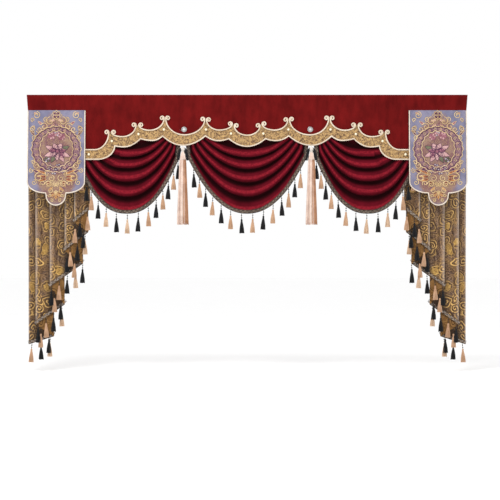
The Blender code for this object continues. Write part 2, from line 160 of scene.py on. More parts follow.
for name, place, aim, size, power in LIGHTS:
    lamp = bpy.data.objects.new(name, bpy.data.lights.new(name, "AREA"))
    lamp.data.shape = "DISK"
    lamp.data.size = size
    lamp.data.energy = power
    lamp.location = place
    lamp.rotation_euler = (Vector(aim) - Vector(place)).to_track_quat("-Z", "Y").to_euler()
    scene.collection.objects.link(lamp)

world = bpy.data.worlds.new("surround")
world.use_nodes = True
world.node_tree.nodes["Background"].inputs["Color"].default_value = (1.0, 1.0, 1.0, 1.0)
world.node_tree.nodes["Background"].inputs["Strength"].default_value = 1.0
scene.world = world

bpy.ops.object.select_all(action="DESELECT")
bpy.ops.mesh.primitive_plane_add(size=60, location=(0, 0, cad_box[0][2] - FLOOR_UNDER))
floor = bpy.context.object
floor.name = "floor"
pale, tree, shader = finish("pale_floor", Roughness=0.9)
grain = noise(tree, own_place(tree), 3.0, 3.0)
dressed(tree, shader, mixed(tree, grain, (0.97, 0.97, 0.97, 1), (1.0, 1.0, 1.0, 1)))
floor.data.materials.append(pale)


# ---- The pelmet ----
# One panel of deep red cut velvet over the whole width, 84 mm deep above the flaps and scalloped
# between them. Its top edge is turned over to the back as a 65 mm hem; two upright seams join it.

WIDTH, HEADING_DROP, HEADING_DRAW_IN, HEM_DROP = 2.400, 0.084, 0.0065, 0.065
PELMET_CLOTH = 0.0020
PELMET_MIDDLE, HEM_MIDDLE = -0.0038, -0.0013    # depths of the front and of the turned-over hem
PELMET_SIDE, PELMET_TUCK, TUCK_TOP, TUCK_FULL, TUCK_FROM = 0.8785, 0.905, -0.180, -0.250, 0.80
DRAW_FROM, DRAW_OVER = 1.1, 0.1                 # where along its width the heading is drawn in
PELMET_UNDERLAP = 0.006
CREASES = (
    # depth, creases in a metre across and down, seed
    (0.0011, 9, 7, 1), (0.0006, 31, 22, 2),
)
SEAM_AT, SEAM_WIDTH, SEAM_DEPTH = 0.822, 0.004, 0.0009

SCROLL, CORD = 0.015, 0.004
END_HIGH, END_LOW, END_HIGH_FROM, END_LOW_FROM = -0.2997, -0.3514, -0.830, -0.8136
UPPER_SCALLOPS = (
    # left scroll x, z,  lowest x, z,        right scroll x, z
    (-0.7265, -0.2050, -0.6790, -0.2290, -0.6156, -0.1655),
    (-0.5780, -0.1655, -0.5310, -0.1940, -0.4625, -0.1280),
    (-0.4320, -0.1280, -0.3420, -0.2190, -0.2418, -0.1340),
    (-0.2097, -0.1370, -0.1500, -0.1930, -0.0922, -0.1590),
    (-0.0590, -0.1690, 0.0000, -0.2210, 0.0590, -0.1690),
)
FIRST_SCROLL = (-0.7635, -0.2050)
LOWER_SCALLOPS = (
    # cusp x, z,        lowest x, z of the scallop that follows it
    (-0.7205, -0.2780, -0.6710, -0.2840),
    (-0.5800, -0.2390, -0.5150, -0.2490),
    (-0.4594, -0.2247, -0.3490, -0.2753),
    (-0.2266, -0.2236, -0.1560, -0.2500),
    (-0.1000, -0.2390, 0.0000, -0.2810),
)
ARC_STEPS = 14


def quarter(start, end):
    """A quarter ellipse that leaves start upright and reaches end level."""
    turns = [pi / 2 * i / ARC_STEPS for i in range(ARC_STEPS + 1)]
    return [
        (end[0] + (start[0] - end[0]) * cos(a), start[1] + (end[1] - start[1]) * sin(a))
        for a in turns
    ]


def mirrored(points):
    return [(-x, z) for x, z in reversed(points)]


def lower_line():
    """The border's lower edge, from left to right."""
    first = LOWER_SCALLOPS[0][:2]
    points = [(-PELMET_TUCK + CORD, END_LOW)] + quarter(first, (END_LOW_FROM, END_LOW))[::-1]
    steps = np.arange(1, ARC_STEPS + 1) / ARC_STEPS
    for i, (cusp_x, cusp_z, low_x, low_z) in enumerate(LOWER_SCALLOPS):
        points += [(cusp_x + (low_x - cusp_x) * s, low_z + (cusp_z - low_z) * (1 - s) ** 2)
                   for s in steps]
        if i + 1 < len(LOWER_SCALLOPS):
            next_x, next_z = LOWER_SCALLOPS[i + 1][:2]
            points += [(low_x + (next_x - low_x) * s, low_z + (next_z - low_z) * s ** 2)
                       for s in steps]
    return points + mirrored(points)[1:]


LOWER_LINE = lower_line()


def border_edge(x):
    """Height of the border's lower edge at x."""
    return np.interp(x, *zip(*LOWER_LINE))


def smooth(x):
    x = np.clip(x, 0.0, 1.0)
    return x * x * (3 - 2 * x)


def hashed(x, y, seed):
    """A repeatable number from -1 to 1 for each place."""
    mixed_up = np.sin(x * 127.1 + y * 311.7 + seed * 74.7) * 43758.5453
    return 2 * (mixed_up - np.floor(mixed_up)) - 1


def ripple_noise(x, y, seed):
    """Smooth unevenness from -1 to 1 that changes over one unit."""
    x, y = np.broadcast_arrays(np.asarray(x, float), np.asarray(y, float))
    left, low = np.floor(x), np.floor(y)
    across, up = smooth(x - left), smooth(y - low)
    corners = [hashed(left + i, low + j, seed) for i in (0, 1) for j in (0, 1)]
    return ((corners[0] * (1 - up) + corners[1] * up) * (1 - across)
            + (corners[2] * (1 - up) + corners[3] * up) * across)


def fasten(item, replaced):
    """The piece rides on the drape and stands for its CAD solids, which it hides."""
    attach(item, "root")
    if replaced:
        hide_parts(*replaced)
    return item


def made_of(name, mesh, finishes):
    """A mesh as a piece, in these finishes; a mesh that has its own already is given none."""
    mesh.name = name
    for item in finishes:
        mesh.materials.append(item)
    piece = bpy.data.objects.new(name, mesh)
    scene.collection.objects.link(piece)
    return piece


def rounded(piece, angle=50):
    bpy.ops.object.select_all(action="DESELECT")
    piece.select_set(True)
    bpy.context.view_layer.objects.active = piece
    bpy.ops.object.shade_smooth_by_angle(angle=radians(angle))
    return piece


def cloth(name, points, cut, thickness, face, lining, keep=None, marks=None):
    """A sheet through a net of points, rows downwards and columns to the right, seen from the
    room. cut holds each point's place in the flat cloth, and keep the faces that aren't cut away."""
    rows, columns = points.shape[:2]
    index = np.arange(rows * columns).reshape(rows, columns)
    quads = np.stack([index[:-1, :-1], index[1:, :-1], index[1:, 1:], index[:-1, 1:]], -1)
    quads = quads.reshape(-1, 4) if keep is None else quads[keep]
    used, quads = np.unique(quads, return_inverse=True)
    mesh = bpy.data.meshes.new(name)
    mesh.from_pydata(points.reshape(-1, 3)[used].tolist(), [], quads.reshape(-1, 4).tolist())
    layer = mesh.uv_layers.new(name="cut")
    corner = np.zeros(len(mesh.loops), np.int32)
    mesh.loops.foreach_get("vertex_index", corner)
    layer.data.foreach_set("uv", cut.reshape(-1, 2)[used][corner].astype(np.float32).ravel())
    for label, values in (marks or {}).items():
        mark = mesh.attributes.new(label, "FLOAT", "POINT")
        mark.data.foreach_set("value", values.reshape(-1)[used].astype(np.float32))
    piece = made_of(name, mesh, [face, lining])
    solidify = piece.modifiers.new("thickness", "SOLIDIFY")
    solidify.thickness = thickness
    solidify.offset = 0
    solidify.material_offset = 1
    bpy.ops.object.select_all(action="DESELECT")
    piece.select_set(True)
    bpy.context.view_layer.objects.active = piece
    bpy.ops.object.modifier_apply(modifier="thickness")
    return rounded(piece)


def group(name, inputs, outputs):
    """A node group with these named inputs and outputs."""
    made = bpy.data.node_groups.new(name, "ShaderNodeTree")
    for label, kind, value in inputs:
        socket = made.interface.new_socket(label, in_out="INPUT", socket_type="NodeSocket" + kind)
        if value is not None:
            socket.default_value = value
    for label, kind in outputs:
        made.interface.new_socket(label, in_out="OUTPUT", socket_type="NodeSocket" + kind)
    return made, made.nodes.new("NodeGroupInput").outputs, made.nodes.new("NodeGroupOutput").inputs


def placed_group(tree, made, **inputs):
    """A node group in a material, with this material's own values."""
    return node(tree, "Group", {"node_tree": made}, **inputs).outputs


# Cut pile: strokes where it was brushed, crushed patches, and fine nap.
pile, given, result = group(
    "pile",
    [("Lit", "Color", (1, 1, 1, 1)), ("Deep", "Color", (0, 0, 0, 1)), ("Crush", "Float", 1.0)],
    [("Colour", "Color"), ("Height", "Float")],
)
where = own_place(pile)
stretched = node(pile, "Mapping", Vector=where, Scale=(1.0, 1.0, 0.35)).outputs[0]
strokes = noise(pile, stretched, 26.0, 4.0, 0.62)
patches = noise(pile, where, 7.0, 3.0, 0.55)
nap = noise(pile, where, 750.0)
share = calc(pile, "ADD", times(pile, ramped(pile, strokes, 0.30, 0.72), 0.55),
             times(pile, ramped(pile, patches, 0.32, 0.68), 0.45))
share = calc(pile, "ADD", times(pile, share, given["Crush"]), times(pile, nap, 0.16))
pile.links.new(mixed(pile, calc(pile, "SUBTRACT", 1.05, share), given["Deep"], given["Lit"]),
               result["Colour"])
pile.links.new(calc(pile, "ADD", nap, times(pile, strokes, 0.5)), result["Height"])

velvet, tree, shader = finish("heading_velvet", Roughness=0.85, Specular_IOR_Level=0.08,
                              Sheen_Weight=0.08, Sheen_Roughness=0.4,
                              Sheen_Tint=(1.0, 0.25, 0.22, 1))
look = placed_group(tree, pile, Lit=(0.160, 0.0055, 0.0055, 1), Deep=(0.085, 0.0022, 0.0024, 1),
                    Crush=1.0)
dressed(tree, shader, look["Colour"], look["Height"])

# Lining: a plain twill, its ribs 1 mm apart.
twill, given, result = group(
    "twill",
    [("Vector", "Vector", None), ("Lit", "Color", (1, 1, 1, 1)), ("Deep", "Color", (0, 0, 0, 1))],
    [("Colour", "Color"), ("Height", "Float")],
)
ribs = node(twill, "TexWave", {"wave_type": "BANDS", "bands_direction": "DIAGONAL"},
            Vector=given["Vector"], Scale=450.0, Distortion=0.6, Detail=1.0)
slubs = noise(twill, given["Vector"], 60.0, 3.0)
twill.links.new(mixed(twill, slubs, given["Deep"], given["Lit"]), result["Colour"])
twill.links.new(ribs.outputs["Fac"], result["Height"])


def lining_finish(name, lit, deep):
    made, tree, shader = finish(name, Roughness=0.8)
    look = placed_group(tree, twill, Vector=own_place(tree), Lit=lit, Deep=deep)
    dressed(tree, shader, look["Colour"], look["Height"], 0.3, 0.0004)
    return made


red_lining = lining_finish("red_lining", (0.150, 0.016, 0.015, 1), (0.095, 0.009, 0.009, 1))

half = WIDTH / 2
across = np.unique(np.r_[
    np.linspace(-half, half, 241), -PELMET_SIDE, PELMET_SIDE,
    [side * (SEAM_AT + step * SEAM_WIDTH) for side in (-1, 1) for step in (-1.5, -0.7, 0, 0.7, 1.5)],
])
rows = []                       # depth, height and share of the way down the scalloped part
for z in np.linspace(-HEM_DROP, -0.003, 6):
    rows.append((HEM_MIDDLE, z, 0.0))
fold = (HEM_MIDDLE - PELMET_MIDDLE) / 2
for a in np.linspace(0, pi, 5):
    rows.append((HEM_MIDDLE - fold * (1 - cos(a)), -0.0022 + fold * sin(a), 0.0))
for z in np.linspace(-0.006, -HEADING_DROP, 12):
    rows.append((PELMET_MIDDLE, z, 0.0))
for share in np.linspace(0, 1, 25)[1:]:
    rows.append((PELMET_MIDDLE, -HEADING_DROP, share))
depth, height, share = (np.array(part)[:, None] for part in zip(*rows))
x = across[None, :]
z = height + (border_edge(x) + PELMET_UNDERLAP + HEADING_DROP) * share
tucked = (PELMET_TUCK - PELMET_SIDE) * smooth((TUCK_TOP - z) / (TUCK_TOP - TUCK_FULL))
lower = share > 0
near_side = smooth((np.abs(x) - TUCK_FROM) / (PELMET_SIDE - TUCK_FROM))
draw = HEADING_DRAW_IN * np.clip(-z / HEADING_DROP, 0, 1) * smooth((np.abs(x) - DRAW_FROM) / DRAW_OVER)
wide = x + np.sign(x) * np.where(lower, tucked * near_side, -draw)
front = depth < (HEM_MIDDLE + PELMET_MIDDLE) / 2
clear = smooth((-z - 0.004) / 0.02) * smooth((z - border_edge(x) - 0.11) / 0.05)
wave = sum(deep * ripple_noise(x * across_by, z * down_by, seed)
           for deep, across_by, down_by, seed in CREASES)
seam = sum(np.exp(-((x - side * SEAM_AT) / SEAM_WIDTH) ** 2) for side in (-1, 1))
y = depth + np.where(front, -np.abs(wave) * clear, 0) + SEAM_DEPTH * seam * front
points = np.stack(np.broadcast_arrays(wide, y, z + 0 * wide), -1)
length = np.r_[0, np.cumsum(np.hypot(np.diff(depth[:, 0]), np.diff(height[:, 0])))][:, None]
cut = np.stack(np.broadcast_arrays(x, -length - (height - z) * lower), -1)
inside = (across[:-1] > -PELMET_SIDE - 1e-6) & (across[1:] < PELMET_SIDE + 1e-6)
keep = np.repeat(~lower[1:], len(across) - 1, 1) | inside[None, :]
pelmet = cloth("velvet_pelmet", points, cut, PELMET_CLOTH, velvet, red_lining, keep=keep)
fasten(pelmet, ["pelmet"])


# ---- The scalloped border ----
# A band of gold brocade, backed to 2 mm, sewn on the pelmet's front along its lower edge. It rises
# to a peak between each pair of scrolls and disappears under the flaps.

PELMET_FRONT, GAP = -0.005, 0.0003
BORDER_THICK = 0.002
BORDER_FRONT = PELMET_FRONT - GAP - BORDER_THICK
VOLUTE_TURN, VOLUTE_INNER, VOLUTE_STEPS = 450, 0.0020, 36


def volute(x, z, hand):
    """A cord's end from where it reaches its scroll upright: up, over and round, outwards."""
    reach = SCROLL - CORD
    turns = [radians(VOLUTE_TURN) * i / VOLUTE_STEPS for i in range(1, VOLUTE_STEPS + 1)]
    sizes = [reach - (reach - VOLUTE_INNER) * (a / turns[-1]) ** 1.6 for a in turns]
    return [(x + hand * r * cos(a), z + r * sin(a)) for r, a in zip(sizes, turns)]


def upper_lines():
    """Each upper cord's line between its scrolls, and each whole cord's, from left to right."""
    reach = SCROLL - CORD
    end = quarter((FIRST_SCROLL[0] + reach, FIRST_SCROLL[1]), (END_HIGH_FROM, END_HIGH))[::-1]
    line = [(-PELMET_TUCK + CORD, END_HIGH)] + end
    lines = [(line, line + volute(*FIRST_SCROLL, 1))]
    for left_x, left_z, low_x, low_z, right_x, right_z in UPPER_SCALLOPS:
        line = quarter((left_x - reach, left_z), (low_x, low_z))
        line += quarter((right_x + reach, right_z), (low_x, low_z))[-2::-1]
        whole = volute(left_x, left_z, -1)[::-1] + line + volute(right_x, right_z, 1)
        lines.append((line, whole))
    return lines + [(mirrored(line), mirrored(whole)) for line, whole in lines[-2::-1]]


# Woven scrolls: a curl in each cell, with a rosette in some, on a ground of fine leaf lines.
scrollwork, given, result = group(
    "scrollwork",
    [("Vector", "Vector", None), ("Curls per metre", "Float", 14.0)],
    [("Figure", "Float"), ("Line", "Float"), ("Rosette", "Float")],
)
scaled = node(scrollwork, "VectorMath", {"operation": "SCALE"}, Vector=given["Vector"],
              Scale=given["Curls per metre"]).outputs[0]
bend = node(scrollwork, "TexNoise", Vector=scaled, Scale=0.9, Detail=1.0)
bent = node(scrollwork, "VectorMath", {"operation": "MULTIPLY_ADD"}, Vector=bend.outputs["Color"])
bent.inputs[1].default_value = (0.9, 0.9, 0.0)
scrollwork.links.new(scaled, bent.inputs[2])
cells = node(scrollwork, "TexVoronoi", {"voronoi_dimensions": "2D"}, Vector=bent.outputs[0],
             Scale=1.0, Randomness=0.95)
away = node(scrollwork, "VectorMath", {"operation": "SUBTRACT"}, Vector=bent.outputs[0])
scrollwork.links.new(cells.outputs["Position"], away.inputs[1])
part = node(scrollwork, "SeparateXYZ", Vector=away.outputs[0])
shade = node(scrollwork, "SeparateColor", Color=cells.outputs["Color"])
angle = calc(scrollwork, "ARCTAN2", part.outputs["Y"], part.outputs["X"])
distance = calc(scrollwork, "MAXIMUM", cells.outputs["Distance"], 0.02)
hand = calc(scrollwork, "SIGN", calc(scrollwork, "SUBTRACT", shade.outputs[0], 0.5))
turned = times(scrollwork, calc(scrollwork, "DIVIDE", angle, tau), hand)
coil = calc(scrollwork, "ADD", times(scrollwork, distance, 4.2), turned)
coil = calc(scrollwork, "FRACT", calc(scrollwork, "ADD", coil, shade.outputs[1]))
ridge = calc(scrollwork, "ABSOLUTE", calc(scrollwork, "SUBTRACT", coil, 0.5))
within = ramped(scrollwork, distance, 0.62, 0.40)
arm = times(scrollwork, ramped(scrollwork, ridge, 0.30, 0.14), within)
scrollwork.links.new(arm, result["Figure"])
rim = times(scrollwork, ramped(scrollwork, calc(scrollwork, "ABSOLUTE", calc(
    scrollwork, "SUBTRACT", ridge, 0.30)), 0.13, 0.05), within)
leaves = node(scrollwork, "TexNoise", Vector=scaled, Scale=1.6, Detail=1.5, Distortion=0.9)
veins = calc(scrollwork, "FRACT", times(scrollwork, leaves.outputs[0], 9.0))
veins = ramped(scrollwork, calc(scrollwork, "ABSOLUTE", calc(scrollwork, "SUBTRACT", veins, 0.5)),
               0.22, 0.08)
veins = times(scrollwork, veins, calc(scrollwork, "SUBTRACT", 1.0, within))
scrollwork.links.new(calc(scrollwork, "MAXIMUM", rim, veins), result["Line"])
petals = calc(scrollwork, "COSINE", times(scrollwork, angle, 7.0))
edge = calc(scrollwork, "ADD", times(scrollwork, petals, 0.07), 0.34)
bloom = ramped(scrollwork, calc(scrollwork, "SUBTRACT", edge, distance), 0.0, 0.05)
chosen = ramped(scrollwork, shade.outputs[2], 0.80, 0.84)
scrollwork.links.new(times(scrollwork, bloom, chosen), result["Rosette"])

gold_brocade, tree, shader = finish("gold_brocade", Roughness=0.5, Sheen_Weight=0.15)
where = own_place(tree)
flat = node(tree, "Mapping", Vector=where, Rotation=(pi / 2, 0, 0)).outputs[0]
woven = placed_group(tree, scrollwork, Vector=flat, Curls_per_metre=38.0)
speckle = ramped(tree, noise(tree, where, 105.0, 3.0, 0.75), 0.42, 0.60)
ground = mixed(tree, speckle, (0.095, 0.038, 0.010, 1), (0.580, 0.360, 0.130, 1))
ground = over(tree, ground, woven["Figure"], 0.55, (0.680, 0.420, 0.160, 1))
ground = over(tree, ground, woven["Line"], 0.65, (0.110, 0.050, 0.018, 1))
raised = calc(tree, "ADD", woven["Figure"], times(tree, speckle, 0.6))
dressed(tree, shader, ground, raised, 0.6, 0.0008)

uppers = upper_lines()
top = [point for line, _ in uppers for point in line]
outline = top + LOWER_LINE[::-1]
curve = bpy.data.curves.new("border", "CURVE")
curve.dimensions = "2D"
curve.fill_mode = "BOTH"
curve.extrude = BORDER_THICK / 2
spline = curve.splines.new("POLY")
spline.points.add(len(outline) - 1)
for point, (x, z) in zip(spline.points, outline):
    point.co = (x, z, 0, 1)
spline.use_cyclic_u = True
cutter = bpy.data.objects.new("border_cut", curve)
scene.collection.objects.link(cutter)


def baked(item):
    """The object's mesh as it shows, with its caps joined on; the object itself is removed."""
    bpy.context.view_layer.update()
    graph = bpy.context.evaluated_depsgraph_get()
    mesh = bpy.data.meshes.new_from_object(item.evaluated_get(graph))
    mesh.transform(item.matrix_world)
    solid = bmesh.new()
    solid.from_mesh(mesh)
    bmesh.ops.remove_doubles(solid, verts=solid.verts, dist=1e-6)
    solid.to_mesh(mesh)
    solid.free()
    bpy.data.objects.remove(item)
    return mesh


cutter.location = (0, BORDER_FRONT + BORDER_THICK / 2, 0)
cutter.rotation_euler = (pi / 2, 0, 0)
border = rounded(made_of("brocade_border", baked(cutter), [gold_brocade]), 30)
fasten(border, ["border"])


# ---- The cords ----
# Twisted cream rayon cord, 8 mm, couched along both edges of the border. Each upper cord ends in a
# volute that stands on the pelmet above the border's peak, and the lower cord is one length.


def resampled(route, step):
    """A route cut into even steps, and the length run at each point."""
    route = np.asarray(route, float)
    run = np.r_[0, np.cumsum(np.linalg.norm(np.diff(route, axis=0), axis=1))]
    at = np.linspace(0, run[-1], max(2, round(run[-1] / step) + 1))
    return np.stack([np.interp(at, run, route[:, i]) for i in range(3)], 1), at


def strands(routes, radius, resolution=1, radii=None):
    """A mesh of round yarns, one along each route, closed at their ends."""
    curve = bpy.data.curves.new("strands", "CURVE")
    curve.dimensions = "3D"
    curve.bevel_depth = radius
    curve.bevel_resolution = resolution
    curve.use_fill_caps = True
    for route in routes:
        spline = curve.splines.new("POLY")
        spline.points.add(len(route) - 1)
        spline.points.foreach_set("co", np.c_[route, np.ones(len(route))].ravel())
        if radii is not None:
            spline.points.foreach_set("radius", np.asarray(radii, float))
    item = bpy.data.objects.new("strands", curve)
    scene.collection.objects.link(item)
    return baked(item)


def plies(route, radius, count, pitch, step, towards=(0.0, -1.0, 0.0)):
    """The routes of the yarns of a twisted cord, and the radius of each."""
    route, at = resampled(route, step)
    ahead = np.gradient(route, axis=0)
    ahead /= np.linalg.norm(ahead, axis=1)[:, None]
    side = np.cross(ahead, np.asarray(towards, float))
    side /= np.maximum(np.linalg.norm(side, axis=1), 1e-9)[:, None]
    up = np.cross(side, ahead)
    offset = radius * (0.50 if count == 2 else 0.535)
    turns = [tau * (at / pitch + k / count) for k in range(count)]
    routes = [route + offset * (np.cos(a)[:, None] * side + np.sin(a)[:, None] * up) for a in turns]
    return routes, radius - offset


# Yarn: colour that varies from thread to thread, and fine fibres.
yarn, given, result = group(
    "yarn",
    [("Lit", "Color", (1, 1, 1, 1)), ("Deep", "Color", (0, 0, 0, 1)), ("Fineness", "Float", 300.0)],
    [("Colour", "Color"), ("Height", "Float")],
)
where = own_place(yarn)
along = node(yarn, "Mapping", Vector=where, Scale=(1.0, 1.0, 0.25)).outputs[0]
fibres = noise(yarn, along, given["Fineness"], 3.0, 0.6)
hanks = noise(yarn, where, 22.0)
share = calc(yarn, "ADD", times(yarn, ramped(yarn, fibres, 0.32, 0.68), 0.6),
             times(yarn, ramped(yarn, hanks, 0.35, 0.65), 0.4))
yarn.links.new(mixed(yarn, share, given["Deep"], given["Lit"]), result["Colour"])
yarn.links.new(fibres, result["Height"])


def yarn_finish(name, lit, deep, roughness=0.6, sheen=0.25, fineness=420.0):
    made, tree, shader = finish(name, Roughness=roughness, Sheen_Weight=sheen,
                                Sheen_Roughness=0.35)
    look = placed_group(tree, yarn, Lit=lit, Deep=deep, Fineness=fineness)
    dressed(tree, shader, look["Colour"], look["Height"], 0.4, 0.0005)
    return made


cream_rayon = yarn_finish("cream_rayon", (0.860, 0.770, 0.640, 1), (0.640, 0.510, 0.370, 1), 0.5)
CORD_MIDDLE = BORDER_FRONT - GAP - CORD
CORD_PLIES, CORD_PITCH, CORD_STEP = 3, 0.021, 0.0022
lines = [(f"border_cord_{i:02d}", f"upper_cord_{i:02d}", whole)
         for i, (_, whole) in enumerate(uppers, 1)]
for name, solid, line in lines + [("border_cord_below", "lower_cord", LOWER_LINE)]:
    routes, ply = plies([(x, CORD_MIDDLE, z) for x, z in line], CORD, CORD_PLIES, CORD_PITCH,
                        CORD_STEP)
    fasten(rounded(made_of(name, strands(routes, ply), [cream_rayon])), [solid])


# ---- The pearls and the stones ----
# A pearl bead in a small gilt cup on each peak of the border, and a cut stone in a plated setting
# over each long tassel.

PEARL = 0.0075
PEARLS = (
    # x, z
    (-0.861, -0.325), (-0.736, -0.253), (-0.591, -0.215),
    (-0.453, -0.190), (-0.224, -0.190), (-0.088, -0.212),
)
STONE_AT, STONE, RING = (0.3435, -0.189), 0.0085, 0.0155


def moulded(profile, sides):
    """A closed round form on Z: a circle extruded through each row of its profile and resized."""
    bpy.ops.object.select_all(action="DESELECT")
    bpy.ops.mesh.primitive_circle_add(vertices=sides, radius=profile[0][0], fill_type="NGON",
                                      location=(0, 0, profile[0][1]))
    bpy.ops.object.mode_set(mode="EDIT")
    bpy.ops.mesh.select_all(action="SELECT")
    for (r0, z0), (r1, z1) in zip(profile, profile[1:]):
        bpy.ops.mesh.extrude_region_move(TRANSFORM_OT_translate={"value": (0, 0, z1 - z0)})
        bpy.ops.transform.resize(value=(r1 / r0, r1 / r0, 1), center_override=(0, 0, z1))
    bpy.ops.mesh.select_all(action="SELECT")
    bpy.ops.mesh.normals_make_consistent(inside=False)
    bpy.ops.object.mode_set(mode="OBJECT")
    return baked(bpy.context.object)


def bead(radius, segments=16, rings=10):
    bpy.ops.object.select_all(action="DESELECT")
    bpy.ops.mesh.primitive_uv_sphere_add(segments=segments, ring_count=rings, radius=radius)
    return baked(bpy.context.object)


def together(parts):
    """One mesh of several, each given as (mesh, matrix, finish number)."""
    whole = bmesh.new()
    for mesh, matrix, number in parts:
        mesh = mesh.copy()
        mesh.transform(matrix)
        first = len(whole.faces)
        whole.from_mesh(mesh)
        whole.faces.ensure_lookup_table()
        if number is not None:
            for face in whole.faces[first:]:
                face.material_index = number
        bpy.data.meshes.remove(mesh)
    made = bpy.data.meshes.new("together")
    whole.to_mesh(made)
    whole.free()
    return made


def metal(name, scale, dark, bright, wear):
    """A bright metal, its colour and roughness uneven by scuffs."""
    made, tree, shader = finish(name, Metallic=1.0)
    scuffs = noise(tree, own_place(tree), scale)
    dressed(tree, shader, mixed(tree, scuffs, dark, bright))
    tree.links.new(calc(tree, "MULTIPLY_ADD", scuffs, wear, 0.22), shader.inputs["Roughness"])
    return made


nacre, tree, shader = finish("nacre", Roughness=0.22, Coat_Weight=0.6, Coat_Roughness=0.1)
dressed(tree, shader, mixed(tree, noise(tree, own_place(tree), 160.0), (0.860, 0.760, 0.480, 1),
                            (0.960, 0.920, 0.800, 1)))
gilt = metal("gilt", 240.0, (0.500, 0.330, 0.110, 1), (0.850, 0.640, 0.300, 1), 0.25)
plated = metal("plated", 300.0, (0.300, 0.300, 0.300, 1), (0.650, 0.650, 0.640, 1), 0.2)
cut_stone, tree, shader = finish("cut_stone", Roughness=0.04, Coat_Weight=1.0)
# Painted reflection: light and dark cells in the stone's colour stand in for the light caught by its
# facets.
depth = node(tree, "TexVoronoi", Vector=own_place(tree), Scale=240.0).outputs["Distance"]
dressed(tree, shader, mixed(tree, depth, (0.300, 0.310, 0.300, 1), (0.800, 0.820, 0.820, 1)))

upright = Matrix.Rotation(pi / 2, 4, "X")       # turns a form on Z to face the room
pearl = bead(PEARL - 0.0008, 20, 14)
cup = moulded([(0.0052, 0.0), (0.0074, 0.0), (0.0080, 0.0016), (0.0074, 0.0030), (0.0060, 0.0030),
               (0.0050, 0.0012)], 20)
for i, (x, z) in enumerate(PEARLS + tuple(mirrored(PEARLS)), 1):
    middle = Matrix.Translation((x, BORDER_FRONT - GAP - PEARL, z))
    seat = Matrix.Translation((x, BORDER_FRONT - GAP, z)) @ upright
    mesh = together([(pearl, middle, 0), (cup, seat, 1)])
    fasten(rounded(made_of(f"pearl_bead_{i:02d}", mesh, [nacre, gilt])), [f"pearl_{i:02d}"])

gem = moulded([(STONE * 0.5, 0.0006), (STONE * 0.96, 0.0006), (STONE, 0.0022), (STONE * 0.78, 0.0044),
               (STONE * 0.42, 0.0058)], 10)
collar = moulded([(RING * 0.98, 0.0), (RING, 0.0009), (RING * 0.97, 0.0022), (RING * 0.80, 0.0036),
                  (RING * 0.66, 0.0034), (RING * 0.60, 0.0012)], 32)
grain = bead(0.0013, 8, 6)
SIDES = (("left", -1), ("right", 1))
for name, side in SIDES:
    seat = Matrix.Translation((side * STONE_AT[0], PELMET_FRONT - GAP, STONE_AT[1])) @ upright
    fasten(made_of(f"cut_stone_{name}", together([(gem, seat, 0)]), [cut_stone]),
           [f"stone_{name}"])
    parts = [(collar, seat, 0)]
    for i in range(18):
        around = Matrix.Rotation(tau * i / 18, 4, "Z") @ Matrix.Translation((RING * 0.86, 0, 0.0034))
        parts.append((grain, seat @ around, 0))
    fasten(rounded(made_of(f"stone_setting_{name}", together(parts), [plated])),
           [f"ring_{name}"])


# ---- The swags ----
# Three lengths of the same velvet, lined, gathered at both ends and sewn to the pelmet's back, so
# that each hangs in five rolls that slide over one another. The outer two run in behind the flaps.

SWAG_TOP, SWAG_DROP, SWAG_CLOTH, BEND_FROM, SWAG_SETTLE = -0.190, 0.447, 0.0018, 0.840, 0.030
SWAG_BACK, SWAG_REST = -0.0012, 0.006
FOLDS = (
    # share of the drop, folds passed: whole numbers are valleys, halves are ridges
    (0.000, -0.70), (0.217, 0.0), (0.340, 1.0), (0.492, 2.0),
    (0.655, 3.0), (0.832, 4.0), (1.000, 4.65),
)
RIPPLE_MIDDLE, RIPPLE_END, RIPPLE_HIDDEN = 0.029, 0.0095, 0.004
SAG, BELLY = 0.013, 0.012
CORD_CLEAR, COME_FORWARD, CORD_REACH = 0.015, 0.030, 0.030
HELD_FROM, HELD_OVER = 0.960, 0.160
SWAG_COLUMNS, SWAG_ROWS = 120, 150
FOLD_LIT = 0.40                 # how far down each fold the painted highlight peaks and the painted shade is least
Swag = namedtuple("Swag", "name middle hand curve top low sewn pitch first last seed")
SWAGS = (
    # name, middle x, hand, power of the folds' hanging curve; half width of the top fold, of the
    # lowest one, and of that one where it is sewn on; the tassels' pitch, and the first and the
    # last one in steps of it from the middle; seed of its unevenness
    Swag("left", -0.6536, 1, 2.33, 0.2130, 0.3370, 0.3000, 0.0610, -5.93, 7.07, 11),
    Swag("middle", 0.0, 1, 2.15, 0.2347, 0.3900, 0.3450, 0.0617, -6.5, 6.5, 23),
    Swag("right", 0.6536, -1, 2.33, 0.2130, 0.3370, 0.3000, 0.0610, -5.93, 7.07, 37),
)


